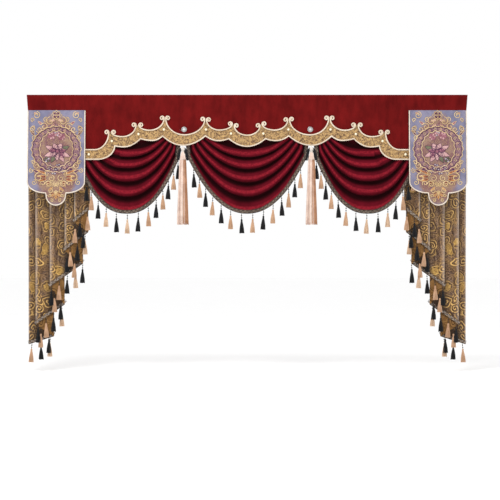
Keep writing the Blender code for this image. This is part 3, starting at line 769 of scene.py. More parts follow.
def swag_points(swag, share, along):
    """Points of a swag and the painted shade of its folds there, 1 in each valley and 0 where the
    painted highlight peaks: share of its drop, and along from -1 to 1.
    """
    t = np.abs(along)
    depth = SWAG_DROP * share
    reach = swag.top + (swag.low - swag.top) * share
    sewn = swag.top + (swag.sewn - swag.top) * share
    bend = smooth((t - BEND_FROM) / (1 - BEND_FROM))
    out = np.where(t > BEND_FROM, reach * BEND_FROM + (sewn - reach * BEND_FROM) * bend, reach * t)
    x = swag.middle + np.sign(along) * out
    z = SWAG_TOP - depth * (1 - t ** swag.curve)
    loose = (1 - share) * share * 4
    phase = np.interp(share, *zip(*FOLDS))
    phase = phase + 0.07 * loose * ripple_noise(along * 2.2, share * 4, swag.seed)
    wave = 0.5 - 0.5 * np.cos(2 * pi * phase)
    ridge = wave ** 0.9
    edge = np.minimum(np.minimum(border_edge(x - CORD_REACH), border_edge(x + CORD_REACH)),
                      border_edge(x))
    free = smooth((edge - CORD_CLEAR - z) / COME_FORWARD) * smooth((HELD_FROM - t) / HELD_OVER)
    settled = smooth((SWAG_TOP - z) / SWAG_SETTLE)
    full = RIPPLE_MIDDLE + (RIPPLE_END - RIPPLE_MIDDLE) * t ** 1.5
    full = full * (1 + 0.12 * ripple_noise(along * 3, share * 6, swag.seed + 1))
    ripple = (RIPPLE_HIDDEN * settled + (full - RIPPLE_HIDDEN) * free) * ridge
    crease = 0.0010 * ripple_noise(along * 9, share * 22, swag.seed + 2) * free
    y = SWAG_BACK + (SWAG_REST - SWAG_BACK) * settled - ripple + crease
    y -= BELLY * share * (1 - t * t) * free
    drop = SAG * ridge * free * (1 - t ** 2)
    # Painted shade for each point: 1 at the bottom of a fold's valley, falling to 0 where the fold's
    # painted highlight peaks.
    within = phase - np.floor(phase)
    within = np.where(within < FOLD_LIT, within / FOLD_LIT / 2, 1 - (1 - within) / (1 - FOLD_LIT) / 2)
    return np.stack([x, y, z - drop], -1), 1 - np.sin(pi * within) ** 2.4


swag_velvet, tree, shader = finish("swag_velvet", Roughness=0.8, Specular_IOR_Level=0.05,
                                   Sheen_Weight=0.20, Sheen_Roughness=0.35,
                                   Sheen_Tint=(1.0, 0.16, 0.24, 1))
look = placed_group(tree, pile, Lit=(0.124, 0.0038, 0.0112, 1), Deep=(0.050, 0.0011, 0.0042, 1),
                    Crush=0.8)
# Painted light on the folds: each fold's valley is darkened towards near black as painted shade, and
# each crest is lightened as a painted highlight, broken up by painted glints.
painted_fold_shade = node(tree, "Attribute", {"attribute_name": "painted_fold_shade"}).outputs["Fac"]
glints = ramped(tree, noise(tree, own_place(tree), 110.0, 3.0), 0.35, 0.65)
glints = calc(tree, "MULTIPLY_ADD", glints, 0.45, 0.25)
crest = times(tree, ramped(tree, painted_fold_shade, 0.20, 0.0), glints)
velvety = mixed(tree, crest, look["Colour"], (0.300, 0.015, 0.026, 1))
painted_fold_shade = times(tree, ramped(tree, painted_fold_shade, 0.38, 1.00), 0.95)
dressed(tree, shader, mixed(tree, painted_fold_shade, velvety, (0.006, 0.0003, 0.0007, 1)), look["Height"])

places = np.sin(np.linspace(-pi / 2, pi / 2, SWAG_COLUMNS + 1) * 0.93) / sin(pi / 2 * 0.93)
shares = np.linspace(0, 1, SWAG_ROWS + 1)
for swag in SWAGS:
    share, along = np.meshgrid(shares, places, indexing="ij")
    points, painted_fold_shade = swag_points(swag, share, along)
    cut = np.stack([along * 0.42, -share * 0.62], -1)
    piece = cloth(f"velvet_swag_{swag.name}", points, cut, SWAG_CLOTH, swag_velvet, red_lining,
                  marks={"painted_fold_shade": painted_fold_shade})
    fasten(piece, [f"swag_{swag.name}"])


# ---- The swags' fringes ----
# A plaited braid in taupe and browns is sewn on each swag's face along its hem, and pressed flat
# where it runs up behind the pelmet. Black and beige tassels hang from it in turn, 61 mm apart.

GIMP_WIDTH, GIMP_STEP = 0.021, 0.003
PLAIT_HALF, PLAIT_LIFT, PLAIT_PITCH, PLAIT_YARN = 0.0056, 0.0014, 0.024, 0.0021
EDGE_OUT, EDGE_YARN, EDGE_PITCH = 0.0090, 0.0012, 0.009
PRESSED = 0.45                  # share of its thickness that is left behind the pelmet
TASSEL_SEWN = 0.0038            # above the hem
THREAD = 0.036
TASSEL_PROFILE = ((0.0022, -0.034), (0.0042, -0.040), (0.0035, -0.046), (0.0070, -0.062),
                  (0.0108, -0.085), (0.0126, -0.109))


def unit(vectors):
    return vectors / np.maximum(np.linalg.norm(vectors, axis=-1, keepdims=True), 1e-9)


def gimp(route, down, out, depth, thin=1.0):
    """The parts of a braid along a route: three plaited yarns between two twisted cords. down and
    out point across it and away from the cloth, and depth is how much of its thickness is left."""
    run = np.r_[0, np.cumsum(np.linalg.norm(np.diff(route, axis=0), axis=1))]
    at = np.linspace(0, run[-1], round(run[-1] / GIMP_STEP))
    route, down, out, depth = (
        np.stack([np.interp(at, run, part) for part in np.atleast_2d(values.T)], 1)
        for values in (route, down, out, depth)
    )
    depth = depth * thin
    lift = depth * (PLAIT_LIFT + PLAIT_YARN)
    parts = []
    for k in range(3):
        a = tau * (at / PLAIT_PITCH + k / 3)[:, None]
        over_yarn = lift + depth * PLAIT_LIFT * np.sin(2 * a)
        yarn = route + down * PLAIT_HALF * np.sin(a) + out * over_yarn
        parts.append((strands([yarn], PLAIT_YARN, 1, depth[:, 0]), Matrix(), k))
    cords = []
    for side in (-1, 1):
        for k in range(2):
            a = tau * (at / EDGE_PITCH + k / 2)[:, None]
            cords.append(route + down * (side * EDGE_OUT + EDGE_YARN * 0.8 * np.sin(a))
                         + out * (depth * EDGE_YARN * (1.9 + 0.8 * np.cos(a))))
    parts.append((strands(cords, EDGE_YARN, 0, depth[:, 0]), Matrix(), 1))
    return parts


def hanging(profile, count, yarn, seed, unevenness=0.10):
    """Yarns hung round a middle, each along a profile of radius and height."""
    radius, height = np.array(profile).T
    steps = np.arange(len(radius))
    routes = []
    for k in range(count):
        a = tau * k / count + unevenness * ripple_noise(steps * 0.45, k * 1.7, seed)
        r = radius * (1 + 0.35 * unevenness * ripple_noise(steps * 0.6, k * 2.3, seed + 1))
        z = height + (height - height[0]) * 0.02 * hashed(k, 0.0, seed)
        routes.append(np.stack([r * np.cos(a), r * np.sin(a), z], 1))
    return strands(routes, yarn, 0)


def wound(radius, top, bottom, yarn, sides=8):
    """A yarn wound closely round a neck."""
    turns = max(2, round((top - bottom) / (2 * yarn)))
    a = np.arange(turns * sides + 1) * tau / sides
    return strands([np.stack([radius * np.cos(a), radius * np.sin(a),
                              top + (bottom - top) * a / a[-1]], 1)], yarn, 0)


def tassel_parts(push, seed):
    """A small tassel hung at the origin: its thread, its beads and its skirt, whose lower part is
    held forward by push."""
    routes, ply = plies([(0, 0, 0.002), (0, 0, -THREAD)], 0.0014, 2, 0.007, 0.0022)
    thread = strands(routes, ply, 0)
    beads = together([(bead(0.0036, 10, 6), Matrix.Translation((0, 0, z)), 0)
                      for z in (-0.014, -0.027)])
    inner = [(r * 0.62, z * 0.99) for r, z in TASSEL_PROFILE]
    core = moulded([(r * 0.5, z) for r, z in TASSEL_PROFILE[::-1]], 8)
    skirt = together([(hanging(TASSEL_PROFILE, 26, 0.00125, seed), Matrix(), 0),
                      (hanging(inner, 11, 0.0013, seed + 5), Matrix(), 0), (core, Matrix(), 0),
                      (wound(0.0046, -0.0395, -0.0465, 0.0008), Matrix(), 0)])
    for mesh in (thread, beads, skirt):
        for vert in mesh.vertices:
            vert.co.y -= push * float(smooth(-vert.co.z / THREAD))
    return thread, beads, skirt


def spots(route, distances):
    """Places on a route at these distances from its middle."""
    run = np.r_[0, np.cumsum(np.linalg.norm(np.diff(route, axis=0), axis=1))]
    run -= run[-1] / 2
    return np.stack([np.interp(distances, run, part) for part in route.T], 1)


def tassel_row(places, kinds, templates, seed, turned_round):
    """The parts of a row of tassels; kinds gives each one's finish."""
    parts = []
    for i, (place, kind) in enumerate(zip(places, kinds)):
        thread, beads, skirt = templates[i % len(templates)]
        tilt = Matrix.Rotation(radians(2.2) * float(hashed(i, 1.0, seed)), 4, "Y")
        turn = Matrix.Rotation(tau * float(hashed(i, 2.0, seed)), 4, "Z") if turned_round else Matrix()
        longer = Matrix.Diagonal((1, 1, 1 + 0.025 * float(hashed(i, 3.0, seed)), 1))
        where = Matrix.Translation(place) @ tilt @ turn @ longer
        parts += [(thread, where, 1), (beads, where, 6), (skirt, where, kind)]
    return parts


def floss(name, lit, deep, shine):
    """Rayon floss: yarn with a silky streak of light along its threads."""
    made = yarn_finish(name, lit, deep, roughness=0.42, sheen=0.0, fineness=520.0)
    shader = made.node_tree.nodes["Principled BSDF"]
    shader.inputs["Specular IOR Level"].default_value = shine
    shader.inputs["Anisotropic"].default_value = 0.6
    return made


taupe_yarn = yarn_finish("taupe_yarn", (0.200, 0.155, 0.125, 1), (0.070, 0.052, 0.042, 1), 0.75, 0.05)
brown_yarn = yarn_finish("brown_yarn", (0.075, 0.056, 0.038, 1), (0.018, 0.013, 0.010, 1), 0.75, 0.03)
sand_yarn = yarn_finish("sand_yarn", (0.340, 0.260, 0.190, 1), (0.110, 0.080, 0.060, 1), 0.75, 0.05)
black_floss = floss("black_floss", (0.011, 0.011, 0.013, 1), (0.002, 0.002, 0.002, 1), 0.30)
beige_floss = floss("beige_floss", (0.670, 0.435, 0.280, 1), (0.420, 0.240, 0.140, 1), 0.20)
cream_floss = floss("cream_floss", (0.760, 0.560, 0.400, 1), (0.470, 0.300, 0.190, 1), 0.20)
dark_bead = floss("dark_bead", (0.030, 0.016, 0.010, 1), (0.008, 0.004, 0.003, 1), 0.5)
TRIM = [taupe_yarn, brown_yarn, sand_yarn, black_floss, beige_floss, cream_floss, dark_bead]
BLACK, BEIGE, CREAM = 3, 4, 5

hanging_free = [tassel_parts(0.0, seed) for seed in (51, 67, 83)]
for swag in SWAGS:
    along = np.linspace(-1, 1, 500)
    hem = swag_points(swag, np.ones_like(along), along)[0]
    above = swag_points(swag, np.full_like(along, 0.95), along)[0]
    ahead = unit(np.gradient(hem, axis=0))
    down = hem - above
    down = unit(down - ahead * (down * ahead).sum(1, keepdims=True))
    out = np.cross(down, ahead)
    depth = PRESSED + (1 - PRESSED) * smooth((border_edge(hem[:, 0]) - 0.004 - hem[:, 2]) / 0.016)
    middle = hem - down * GIMP_WIDTH / 2 + out * (SWAG_CLOTH / 2 + GAP)
    steps = np.linspace(swag.first, swag.last, round(swag.last - swag.first) + 1)
    places = spots(hem - down * TASSEL_SEWN + out * 0.004, swag.hand * swag.pitch * steps)
    if swag.name == "middle":
        kinds = [BLACK if i % 2 == 0 else BEIGE for i in range(len(steps))]
    else:
        kinds = [BEIGE if i % 2 == 0 else BLACK for i in range(len(steps))]
        kinds[4] = kinds[6] = CREAM
    parts = gimp(middle, down, out, depth) + tassel_row(places, kinds, hanging_free, swag.seed, True)
    piece = rounded(made_of(f"swag_fringe_{swag.name}_braid", together(parts), TRIM))
    fasten(piece, [f"swag_fringe_{swag.name}"])


# ---- The bullion tassels ----
# Between two swags hangs a tassel 0.41 m long: a knotted ball, a bound neck over a fluted mould, and
# a skirt of cream and pink bullion cords, with darker tan cords on its front right-hand side as
# painted shade. Black floss hangs behind its neck.

BULLION_AT = (0.349, -0.034, -0.296)
BALL, BALL_TURNS, BALL_YARN, BALL_CORE = 0.0082, 3, 0.0023, 0.0078
BINDING = (0.0062, -0.0085, -0.0195, 0.0011, 12)        # radius, top, bottom, yarn, sides
MOULD_PROFILE = ((0.0062, -0.0090), (0.0062, -0.0200), (0.0084, -0.0290), (0.0118, -0.0420),
                 (0.0148, -0.0570))
FLUTES, FLUTE_YARN = 24, 0.0015
COLLAR, COLLAR_AT, COLLAR_CORD, COLLAR_STEPS = 0.0160, -0.0575, 0.0022, 32
BLACK_PROFILE = ((0.0105, 0.006), (0.0200, -0.006), (0.0270, -0.030), (0.0290, -0.062))
BLACK_STRANDS, BLACK_YARN, BLACK_BEHIND, BLACK_FLAT = 40, 0.0016, 0.0125, 0.22
LOOP = ((0.0, 0.004, 0.0085), (0.0, 0.012, 0.0135), (0.0, 0.024, 0.0152), (0.0, 0.0325, 0.019),
        (0.0, 0.0335, 0.034))
LOOP_YARN = 0.0013
SKIRT_PROFILE = ((0.0148, -0.0570), (0.0172, -0.0800), (0.0196, -0.1500), (0.0236, -0.2400),
                 (0.0268, -0.3200), (0.0298, -0.4080))
SKIRT_RINGS = (
    # cords, share of the profile's radius, seed
    (36, 1.0, 91), (26, 0.72, 97), (14, 0.42, 99),
)
CORD_YARN, CORD_STRETCH, SKIRT_CORE = 0.0023, 0.024, 0.84
# Painted shade on the skirt: the side whose cords take the darker tan finish, how far it is mixed at
# random, and from where.
PAINTED_SHADE_SIDE, PAINTED_SHADE_MIXED, PAINTED_SHADE_FROM = radians(25), 0.4, 0.62
KNOT, CREAM_MOULD, HEAD_BLACK = range(3)                # finishes of the head
CREAM_CORDS, PAINTED_SHADE_CORDS, PINK_CORDS = range(3)           # finishes of the skirt

cream_bullion = floss("cream_bullion", (0.900, 0.760, 0.660, 1), (0.640, 0.470, 0.390, 1), 0.2)
# Darker tan: painted shade for the skirt's shaded side.
painted_shade_bullion = floss("painted_shade_bullion", (0.560, 0.300, 0.175, 1), (0.270, 0.120, 0.055, 1), 0.2)
pink_bullion = floss("pink_bullion", (0.740, 0.560, 0.470, 1), (0.490, 0.330, 0.270, 1), 0.2)
white_knot = floss("white_knot", (0.800, 0.760, 0.700, 1), (0.560, 0.500, 0.440, 1), 0.2)

a = np.linspace(0, BALL_TURNS * tau, 121)
lift = 0.95 * np.sin(a * 4 / 3)
ball = BALL * np.stack([np.cos(lift) * np.cos(a), np.cos(lift) * np.sin(a), np.sin(lift)], 1)
rib = [(r + 0.0002, 0, z) for r, z in MOULD_PROFILE[1:]]
collar_route, ply = plies([(COLLAR * cos(tau * k / COLLAR_STEPS), COLLAR * sin(tau * k / COLLAR_STEPS),
                            COLLAR_AT) for k in range(COLLAR_STEPS + 1)],
                          COLLAR_CORD, 2, 0.009, 0.002, (0, 0, 1))
behind = Matrix.Translation((0, BLACK_BEHIND, 0)) @ Matrix.Diagonal((1, BLACK_FLAT, 1, 1))
head_parts = [
    (strands([ball], BALL_YARN, 1), Matrix(), KNOT),
    (bead(BALL_CORE, 14, 10), Matrix(), KNOT),
    (wound(*BINDING), Matrix(), KNOT),
    (moulded(MOULD_PROFILE[::-1], 20), Matrix(), CREAM_MOULD),
    (strands(collar_route, ply, 0), Matrix(), KNOT),
    (hanging(BLACK_PROFILE, BLACK_STRANDS, BLACK_YARN, 7, 0.25), behind, HEAD_BLACK),
    (strands([LOOP], LOOP_YARN, 1), Matrix(), KNOT),
]
for k in range(FLUTES):
    head_parts.append((strands([rib], FLUTE_YARN, 0), Matrix.Rotation(tau * k / FLUTES, 4, "Z"),
                       CREAM_MOULD))

skirt_parts = [(moulded([(r * SKIRT_CORE, z) for r, z in SKIRT_PROFILE[::-1]], 16), Matrix(),
                PINK_CORDS)]
radius, height = np.array(SKIRT_PROFILE).T
for ring, (count, share, seed) in enumerate(SKIRT_RINGS):
    for k in range(count):
        angle = tau * (k + 0.5 * ring) / count
        a = angle + 0.07 * ripple_noise(np.arange(len(radius)) * 0.5, k * 1.3, seed)
        z = height * (1 + 0.012 * float(hashed(k, 0.0, seed)) * (height < -0.3))
        route = np.stack([share * radius * np.cos(a), share * radius * np.sin(a), z], 1)
        fine, _ = resampled(route, CORD_STRETCH)
        # Painted shade: cords on the skirt's front right-hand side, with some mixed in at random, take
        # the darker tan finish.
        if cos(angle + PAINTED_SHADE_SIDE) + PAINTED_SHADE_MIXED * float(hashed(k, 3.0, seed)) > PAINTED_SHADE_FROM:
            kind = PAINTED_SHADE_CORDS
        else:
            kind = PINK_CORDS if float(hashed(k, 5.0, seed)) > 0.35 else CREAM_CORDS
        skirt_parts.append((strands([fine], CORD_YARN, 0), Matrix(), kind))
for name, side in SIDES:
    at = Matrix.Translation((side * BULLION_AT[0], *BULLION_AT[1:]))
    for label, parts, finishes in (("head", head_parts, [white_knot, cream_bullion, black_floss]),
                                   ("skirt", skirt_parts, [cream_bullion, painted_shade_bullion, pink_bullion])):
        mesh = together([(part, at @ matrix, number) for part, matrix, number in parts])
        piece = rounded(made_of(f"bullion_tassel_{label}_{name}", mesh, finishes))
        fasten(piece, [f"bullion_{label}_{name}"])


# ---- The tails ----
# One length of brown and gold brocade at each end, pleated back and forth nine times and cut on a
# slant, so that it falls as a cascade. Its outer edge is 1.3 m long, and its wrong side shows behind.

TAIL_CLOTH, TAIL_TOP, TAIL_SETTLE, TAIL_FRONT = 0.0016, -0.067, -0.170, 0.0125
PLEAT_TOP, PLEAT_LOW, PLEAT_SWELL, PLEAT_NOSE = 0.0035, 0.0060, 0.0020, 0.0040
PLEATS = (
    # x, z of the trim's lower edge at each fold
    (-1.1976, -1.3622), (-1.0584, -1.3181), (-1.1574, -1.2556), (-0.9991, -1.1435),
    (-1.0785, -1.0477), (-0.8973, -0.9193), (-0.9958, -0.8508), (-0.8674, -0.7480),
    (-0.9430, -0.6952), (-0.8549, -0.6223),
)
PLEAT_STEPS, NOSE_STEPS, TAIL_ROWS = 14, 8, 60


def tail_section():
    """Columns across the pleated sheet: x, the layer's number, the hem's height, the swell, how
    close a fold is, which sets the painted highlight, the length of cloth so far, and the shade
    of the layer in front."""
    columns, run = [], 0.0
    last = len(PLEATS) - 2
    for layer in range(last + 1):
        (x0, z0), (x1, z1) = PLEATS[layer], PLEATS[layer + 1]
        hand = 1 if x1 > x0 else -1
        width = abs(x1 - x0)
        first = PLEAT_NOSE / width if layer > 0 else 0.0
        final = 1 - PLEAT_NOSE / width if layer < last else 1.0
        for share in np.linspace(first, final, PLEAT_STEPS):
            near = min(share, 1 - share) * width
            swell = 4 * share * (1 - share) if layer % 2 == 0 else 0.0
            x = x0 + (x1 - x0) * share
            behind = PLEATS[layer + 2][0] - x if layer % 2 == 0 and layer < last else 1.0
            columns.append((x, layer, z0 + (z1 - z0) * share, swell, float(smooth(1 - near / 0.010)),
                            run + width * share, np.exp(-max(behind, 0.0) / 0.014)))
        run += width
        if layer == last:
            continue
        for a in np.linspace(-pi / 2, pi / 2, NOSE_STEPS)[1:-1]:
            back = PLEAT_NOSE * (1 - cos(a))
            other = PLEATS[layer] if a < 0 else PLEATS[layer + 2]
            z = z1 + (other[1] - z1) * back / abs(other[0] - x1)
            columns.append((x1 - hand * back, layer + 0.5 + 0.5 * sin(a), z, 0.0, 1.0,
                            run + 0.003 * a / pi, 0.0))
    return np.array(columns).T


def tail_points(x, layer, z, swell, run):
    """Points of the left tail's sheet, in one column of its section or more, at height z."""
    settled = smooth((TAIL_TOP - z) / (TAIL_TOP - TAIL_SETTLE))
    spread = PLEAT_TOP + (PLEAT_LOW - PLEAT_TOP) * (TAIL_TOP - z) / (TAIL_TOP - PLEATS[0][1])
    start = -0.0025 + GAP + TAIL_CLOTH / 2
    front = start + (TAIL_FRONT - start) * settled
    y = front + (len(PLEATS) - 2 - layer) * spread - PLEAT_SWELL * swell * settled
    uneven = ripple_noise(run * 26, z * 1.6, 5) * settled * np.minimum(1, swell * 2)
    return np.stack(np.broadcast_arrays(x + 0 * y, y + 0.0007 * uneven, z), -1)


tail_brocade, tree, shader = finish("tail_brocade", Roughness=0.55, Specular_IOR_Level=0.22,
                                    Sheen_Weight=0.12, Sheen_Tint=(1.0, 0.8, 0.6, 1))
flat = node(tree, "UVMap", {"uv_map": "cut"}).outputs[0]
woven = placed_group(tree, scrollwork, Vector=flat, Curls_per_metre=15.0)
beside = node(tree, "Mapping", Vector=flat, Location=(0.0045, -0.0035, 0)).outputs[0]
cast = placed_group(tree, scrollwork, Vector=beside, Curls_per_metre=15.0)
small = placed_group(tree, scrollwork, Vector=flat, Curls_per_metre=34.0)
tall = node(tree, "Mapping", Vector=flat, Scale=(1.0, 0.12, 1.0)).outputs[0]
streaks = noise(tree, tall, 46.0, 3.0, 0.6)
threads = noise(tree, flat, 420.0)
ground = mixed(tree, ramped(tree, streaks, 0.30, 0.70), (0.052, 0.023, 0.011, 1),
               (0.370, 0.235, 0.155, 1))
patches = ramped(tree, noise(tree, flat, 13.0), 0.48, 0.66)
ground = over(tree, ground, patches, 0.60, (0.520, 0.300, 0.090, 1))
ground = over(tree, ground, small["Figure"], 0.60, (0.400, 0.215, 0.075, 1))
ground = over(tree, ground, small["Line"], 0.90, (0.026, 0.010, 0.004, 1))
gold = mixed(tree, threads, (0.440, 0.230, 0.055, 1), (0.900, 0.580, 0.210, 1))
strength = calc(tree, "MULTIPLY_ADD", ramped(tree, noise(tree, flat, 9.0), 0.35, 0.62), 0.50, 0.40)
shadow = calc(tree, "MAXIMUM", cast["Figure"], cast["Rosette"])
ground = over(tree, ground, shadow, 0.80, (0.030, 0.011, 0.004, 1))
strength = times(tree, strength, ramped(tree, noise(tree, flat, 95.0), 0.28, 0.52))
ground = over(tree, ground, woven["Figure"], strength, gold)
ground = over(tree, ground, woven["Line"], 0.85, (0.030, 0.011, 0.004, 1))
bloom = calc(tree, "MAXIMUM", small["Line"], times(tree, small["Figure"], 0.55))
bloom = mixed(tree, bloom, (0.660, 0.400, 0.100, 1), (0.140, 0.056, 0.012, 1))
ground = over(tree, ground, woven["Rosette"], 0.75, bloom)
# Painted highlight: the cloth is lightened in streaks towards each fold's edge.
painted_fold_highlight = node(tree, "Attribute", {"attribute_name": "painted_fold_highlight"}).outputs["Fac"]
ground = over(tree, ground, painted_fold_highlight, times(tree, streaks, 0.8), (0.640, 0.530, 0.460, 1))
shaded = node(tree, "Attribute", {"attribute_name": "shaded"}).outputs["Fac"]
ground = over(tree, ground, shaded, 0.78, (0.022, 0.010, 0.005, 1))
raised = calc(tree, "ADD", woven["Figure"], times(tree, threads, 0.4))
dressed(tree, shader, ground, raised, 0.55, 0.0007)

# The brocade's wrong side: the same figure, dark on rust, under loose floats of thread.
brocade_back, tree, shader = finish("brocade_back", Roughness=0.7, Specular_IOR_Level=0.12)
flat = node(tree, "UVMap", {"uv_map": "cut"}).outputs[0]
woven = placed_group(tree, scrollwork, Vector=flat, Curls_per_metre=15.0)
floats = node(tree, "Mapping", Vector=flat, Scale=(1.0, 0.2, 1.0)).outputs[0]
floats = noise(tree, floats, 260.0)
ground = mixed(tree, floats, (0.110, 0.048, 0.014, 1), (0.290, 0.145, 0.048, 1))
ground = over(tree, ground, woven["Figure"], 0.8, (0.060, 0.028, 0.012, 1))
ground = over(tree, ground, woven["Line"], 0.5, (0.420, 0.240, 0.080, 1))
dressed(tree, shader, ground, floats, 0.5, 0.0006)


def mirror_of(mesh):
    """A copy of a left-hand mesh for the right."""
    made = mesh.copy()
    made.transform(Matrix.Diagonal((-1, 1, 1, 1)))
    made.flip_normals()
    return made


x, layer, hem, swell, near, run, shaded = tail_section()
down = np.linspace(0, 1, TAIL_ROWS + 1)[:, None] ** 1.1
z = TAIL_TOP + (hem - TAIL_TOP) * down
points = tail_points(x, layer, z, swell, run)
cut = np.stack(np.broadcast_arrays(run, z), -1)
marks = {"painted_fold_highlight": np.broadcast_to(near, z.shape), "shaded": np.broadcast_to(shaded, z.shape)}
tail_sheets = {"left": cloth("brocade_tail_left", points, cut, TAIL_CLOTH, tail_brocade,
                             brocade_back, marks=marks)}
tail_sheets["right"] = made_of("brocade_tail_right", mirror_of(tail_sheets["left"].data), [])
for name, piece in tail_sheets.items():
    fasten(piece, [f"tail_{name}"])


# ---- The tails' fringes ----
# A thinner braid follows each tail's slanting hem round all its folds, on the cloth's face, and
# carries 25 tassels 52.5 mm apart. Black and beige take turns, with a cream one now and then.

TAIL_TAPE, TAPE_SHOULDER, TASSEL_DOWN = 0.022, 0.10, 0.82
TAIL_TASSELS, TAIL_PITCH, TASSEL_PUSH = 25, 0.0525, 0.0125
TAIL_GIMP_THIN = 0.48

TAIL_TRIM = [
    yarn_finish("pale_taupe_yarn", (0.600, 0.500, 0.420, 1), (0.270, 0.210, 0.170, 1), 0.75, 0.08),
    yarn_finish("rust_yarn", (0.120, 0.075, 0.045, 1), (0.035, 0.022, 0.015, 1), 0.75, 0.03),
    yarn_finish("silver_yarn", (0.560, 0.520, 0.480, 1), (0.240, 0.215, 0.195, 1), 0.75, 0.08),
    *TRIM[BLACK:],
]


def straight_section():
    """The pleats' corners and shoulders only, along which the tassels are spaced."""
    places = [PLEATS[0]]
    layers = [0.0]
    for layer in range(len(PLEATS) - 1):
        (x0, z0), (x1, z1) = PLEATS[layer], PLEATS[layer + 1]
        shares = (TAPE_SHOULDER, 0.5, 1 - TAPE_SHOULDER)
        if layer % 2 == 1:
            shares = (TAPE_SHOULDER * 1.2, 1 - TAPE_SHOULDER * 1.2)
        for share in shares + (1.0,):
            places.append((x0 + (x1 - x0) * share, z0 + (z1 - z0) * share))
            last = layer + 1 == len(PLEATS) - 1
            layers.append(layer + (0.5 if share == 1.0 and not last else 0.0))
    x, z = np.array(places).T
    return x, np.array(layers), z


route = tail_points(x, layer, hem, swell, run)
ahead = unit(np.gradient(route, axis=0))
down = np.array([0.0, 0.0, -1.0]) + 0 * route
down = unit(down - ahead * (down * ahead).sum(1, keepdims=True))
out = np.cross(down, ahead)
middle = route - down * GIMP_WIDTH / 2 + out * (TAIL_CLOTH / 2 + GAP)
corner_x, corner_layer, corner_z = straight_section()
sewn = corner_z + TAIL_TAPE * (1 - TASSEL_DOWN)
corners = tail_points(corner_x, corner_layer, sewn, 0 * corner_x, 0 * corner_x)
distances = (np.arange(TAIL_TASSELS) - (TAIL_TASSELS - 1) / 2) * TAIL_PITCH
kinds = [BEIGE if i % 2 == 0 else BLACK for i in range(TAIL_TASSELS)]
kinds[2::6] = [CREAM] * len(kinds[2::6])
held_forward = [tassel_parts(TASSEL_PUSH, seed) for seed in (53, 71)]
parts = gimp(middle, down, out, np.ones(len(route)), TAIL_GIMP_THIN)
parts += tassel_row(spots(corners, distances), kinds, held_forward, 9, False)
mesh = together(parts)
for name, made in (("left", mesh), ("right", mirror_of(mesh))):
    piece = rounded(made_of(f"tail_fringe_{name}_braid", made, TAIL_TRIM))
    fasten(piece, [f"tail_fringe_{name}"])


# ---- The flaps ----
# A flap of lavender and dusty pink satin at each end, 310 mm wide with rounded corners and a tongue,
# hung from the heading's lower edge. It stands forward of the tail. Its back is plain satin.

FLAP_MIDDLE, FLAP_HALF, FLAP_TOP, FLAP_CLOTH = 1.0375, 0.155, -0.0843, 0.0018
FLAP_BACK, FLAP_SLOPE, FLAP_SIDE_DROP = -0.0035, 0.066, 0.391
CORNER, LOBE, LOBE_DROP = (0.100, 0.060), 0.052, 0.465
RING_AT, RING_SIZE = -0.212, (0.111, 0.1115)
DUSTY_AT, DUSTY_HALF = -0.27, (0.125, 0.25)     # the dusty pink oval that fills the middle
FLAP_COLUMNS = 48


def flap_half(z):
    """Half the flap's width at each distance down from its top."""
    corner = FLAP_HALF - CORNER[0] + CORNER[0] * np.sqrt(
        np.clip(1 - (np.maximum(z - FLAP_SIDE_DROP, 0) / CORNER[1]) ** 2, 0, 1))
    tongue = np.sqrt(np.clip(LOBE ** 2 - np.maximum(z - LOBE_DROP, 0) ** 2, 0, None))
    return np.where(z < FLAP_SIDE_DROP + CORNER[1], corner, tongue)


def flap_place(x, drop, lift=0.0):
    """Points of the left flap: x from its middle, towards the room's middle, and drop from its top."""
    x, drop = np.asarray(x, float), np.asarray(drop, float)
    curl = 0.0016 * smooth((drop - 0.05) / 0.1) * (0.5 + 0.5 * ripple_noise(x * 11, drop * 5, 3))
    y = FLAP_BACK - FLAP_SLOPE * drop - curl - lift
    return np.stack(np.broadcast_arrays(x - FLAP_MIDDLE, y, FLAP_TOP - drop), -1)


satin, tree, shader = finish("flap_satin", Roughness=0.42, Specular_IOR_Level=0.18,
                             Sheen_Weight=0.10, Anisotropic=0.4)
part = node(tree, "SeparateXYZ", Vector=own_place(tree))
x = calc(tree, "SUBTRACT", FLAP_MIDDLE, calc(tree, "ABSOLUTE", part.outputs["X"]))
z = calc(tree, "SUBTRACT", part.outputs["Z"], FLAP_TOP)
flat = node(tree, "CombineXYZ", X=x, Y=z).outputs[0]
clouds = ramped(tree, noise(tree, flat, 16.0, 3.0), 0.35, 0.65)
threads = noise(tree, flat, 500.0)
side = mixed(tree, clouds, (0.155, 0.155, 0.245, 1), (0.240, 0.225, 0.315, 1))
dusty = mixed(tree, clouds, (0.210, 0.095, 0.110, 1), (0.360, 0.235, 0.170, 1))
across = times(tree, x, 1 / RING_SIZE[0])
up = times(tree, calc(tree, "SUBTRACT", z, RING_AT), 1 / RING_SIZE[1])
away = calc(tree, "SQRT", calc(tree, "ADD", calc(tree, "POWER", across, 2.0),
                               calc(tree, "POWER", up, 2.0)))
belly = calc(tree, "ADD", calc(tree, "POWER", times(tree, x, 1 / DUSTY_HALF[0]), 2.0), calc(
    tree, "POWER", times(tree, calc(tree, "SUBTRACT", z, DUSTY_AT), 1 / DUSTY_HALF[1]), 2.0))
shade = noise(tree, flat, 34.0)
within = ramped(tree, calc(tree, "ADD", belly, times(tree, shade, 0.5)), 1.40, 1.00)
ground = mixed(tree, within, side, dusty)
small = placed_group(tree, scrollwork, Vector=flat, Curls_per_metre=42.0)
figure = times(tree, small["Figure"], calc(tree, "MULTIPLY_ADD", within, 0.40, 0.05))
ground = mixed(tree, figure, ground, (0.480, 0.300, 0.140, 1))
ground = over(tree, ground, small["Line"], calc(tree, "MULTIPLY_ADD", within, 0.72, 0.08),
              (0.070, 0.022, 0.045, 1))
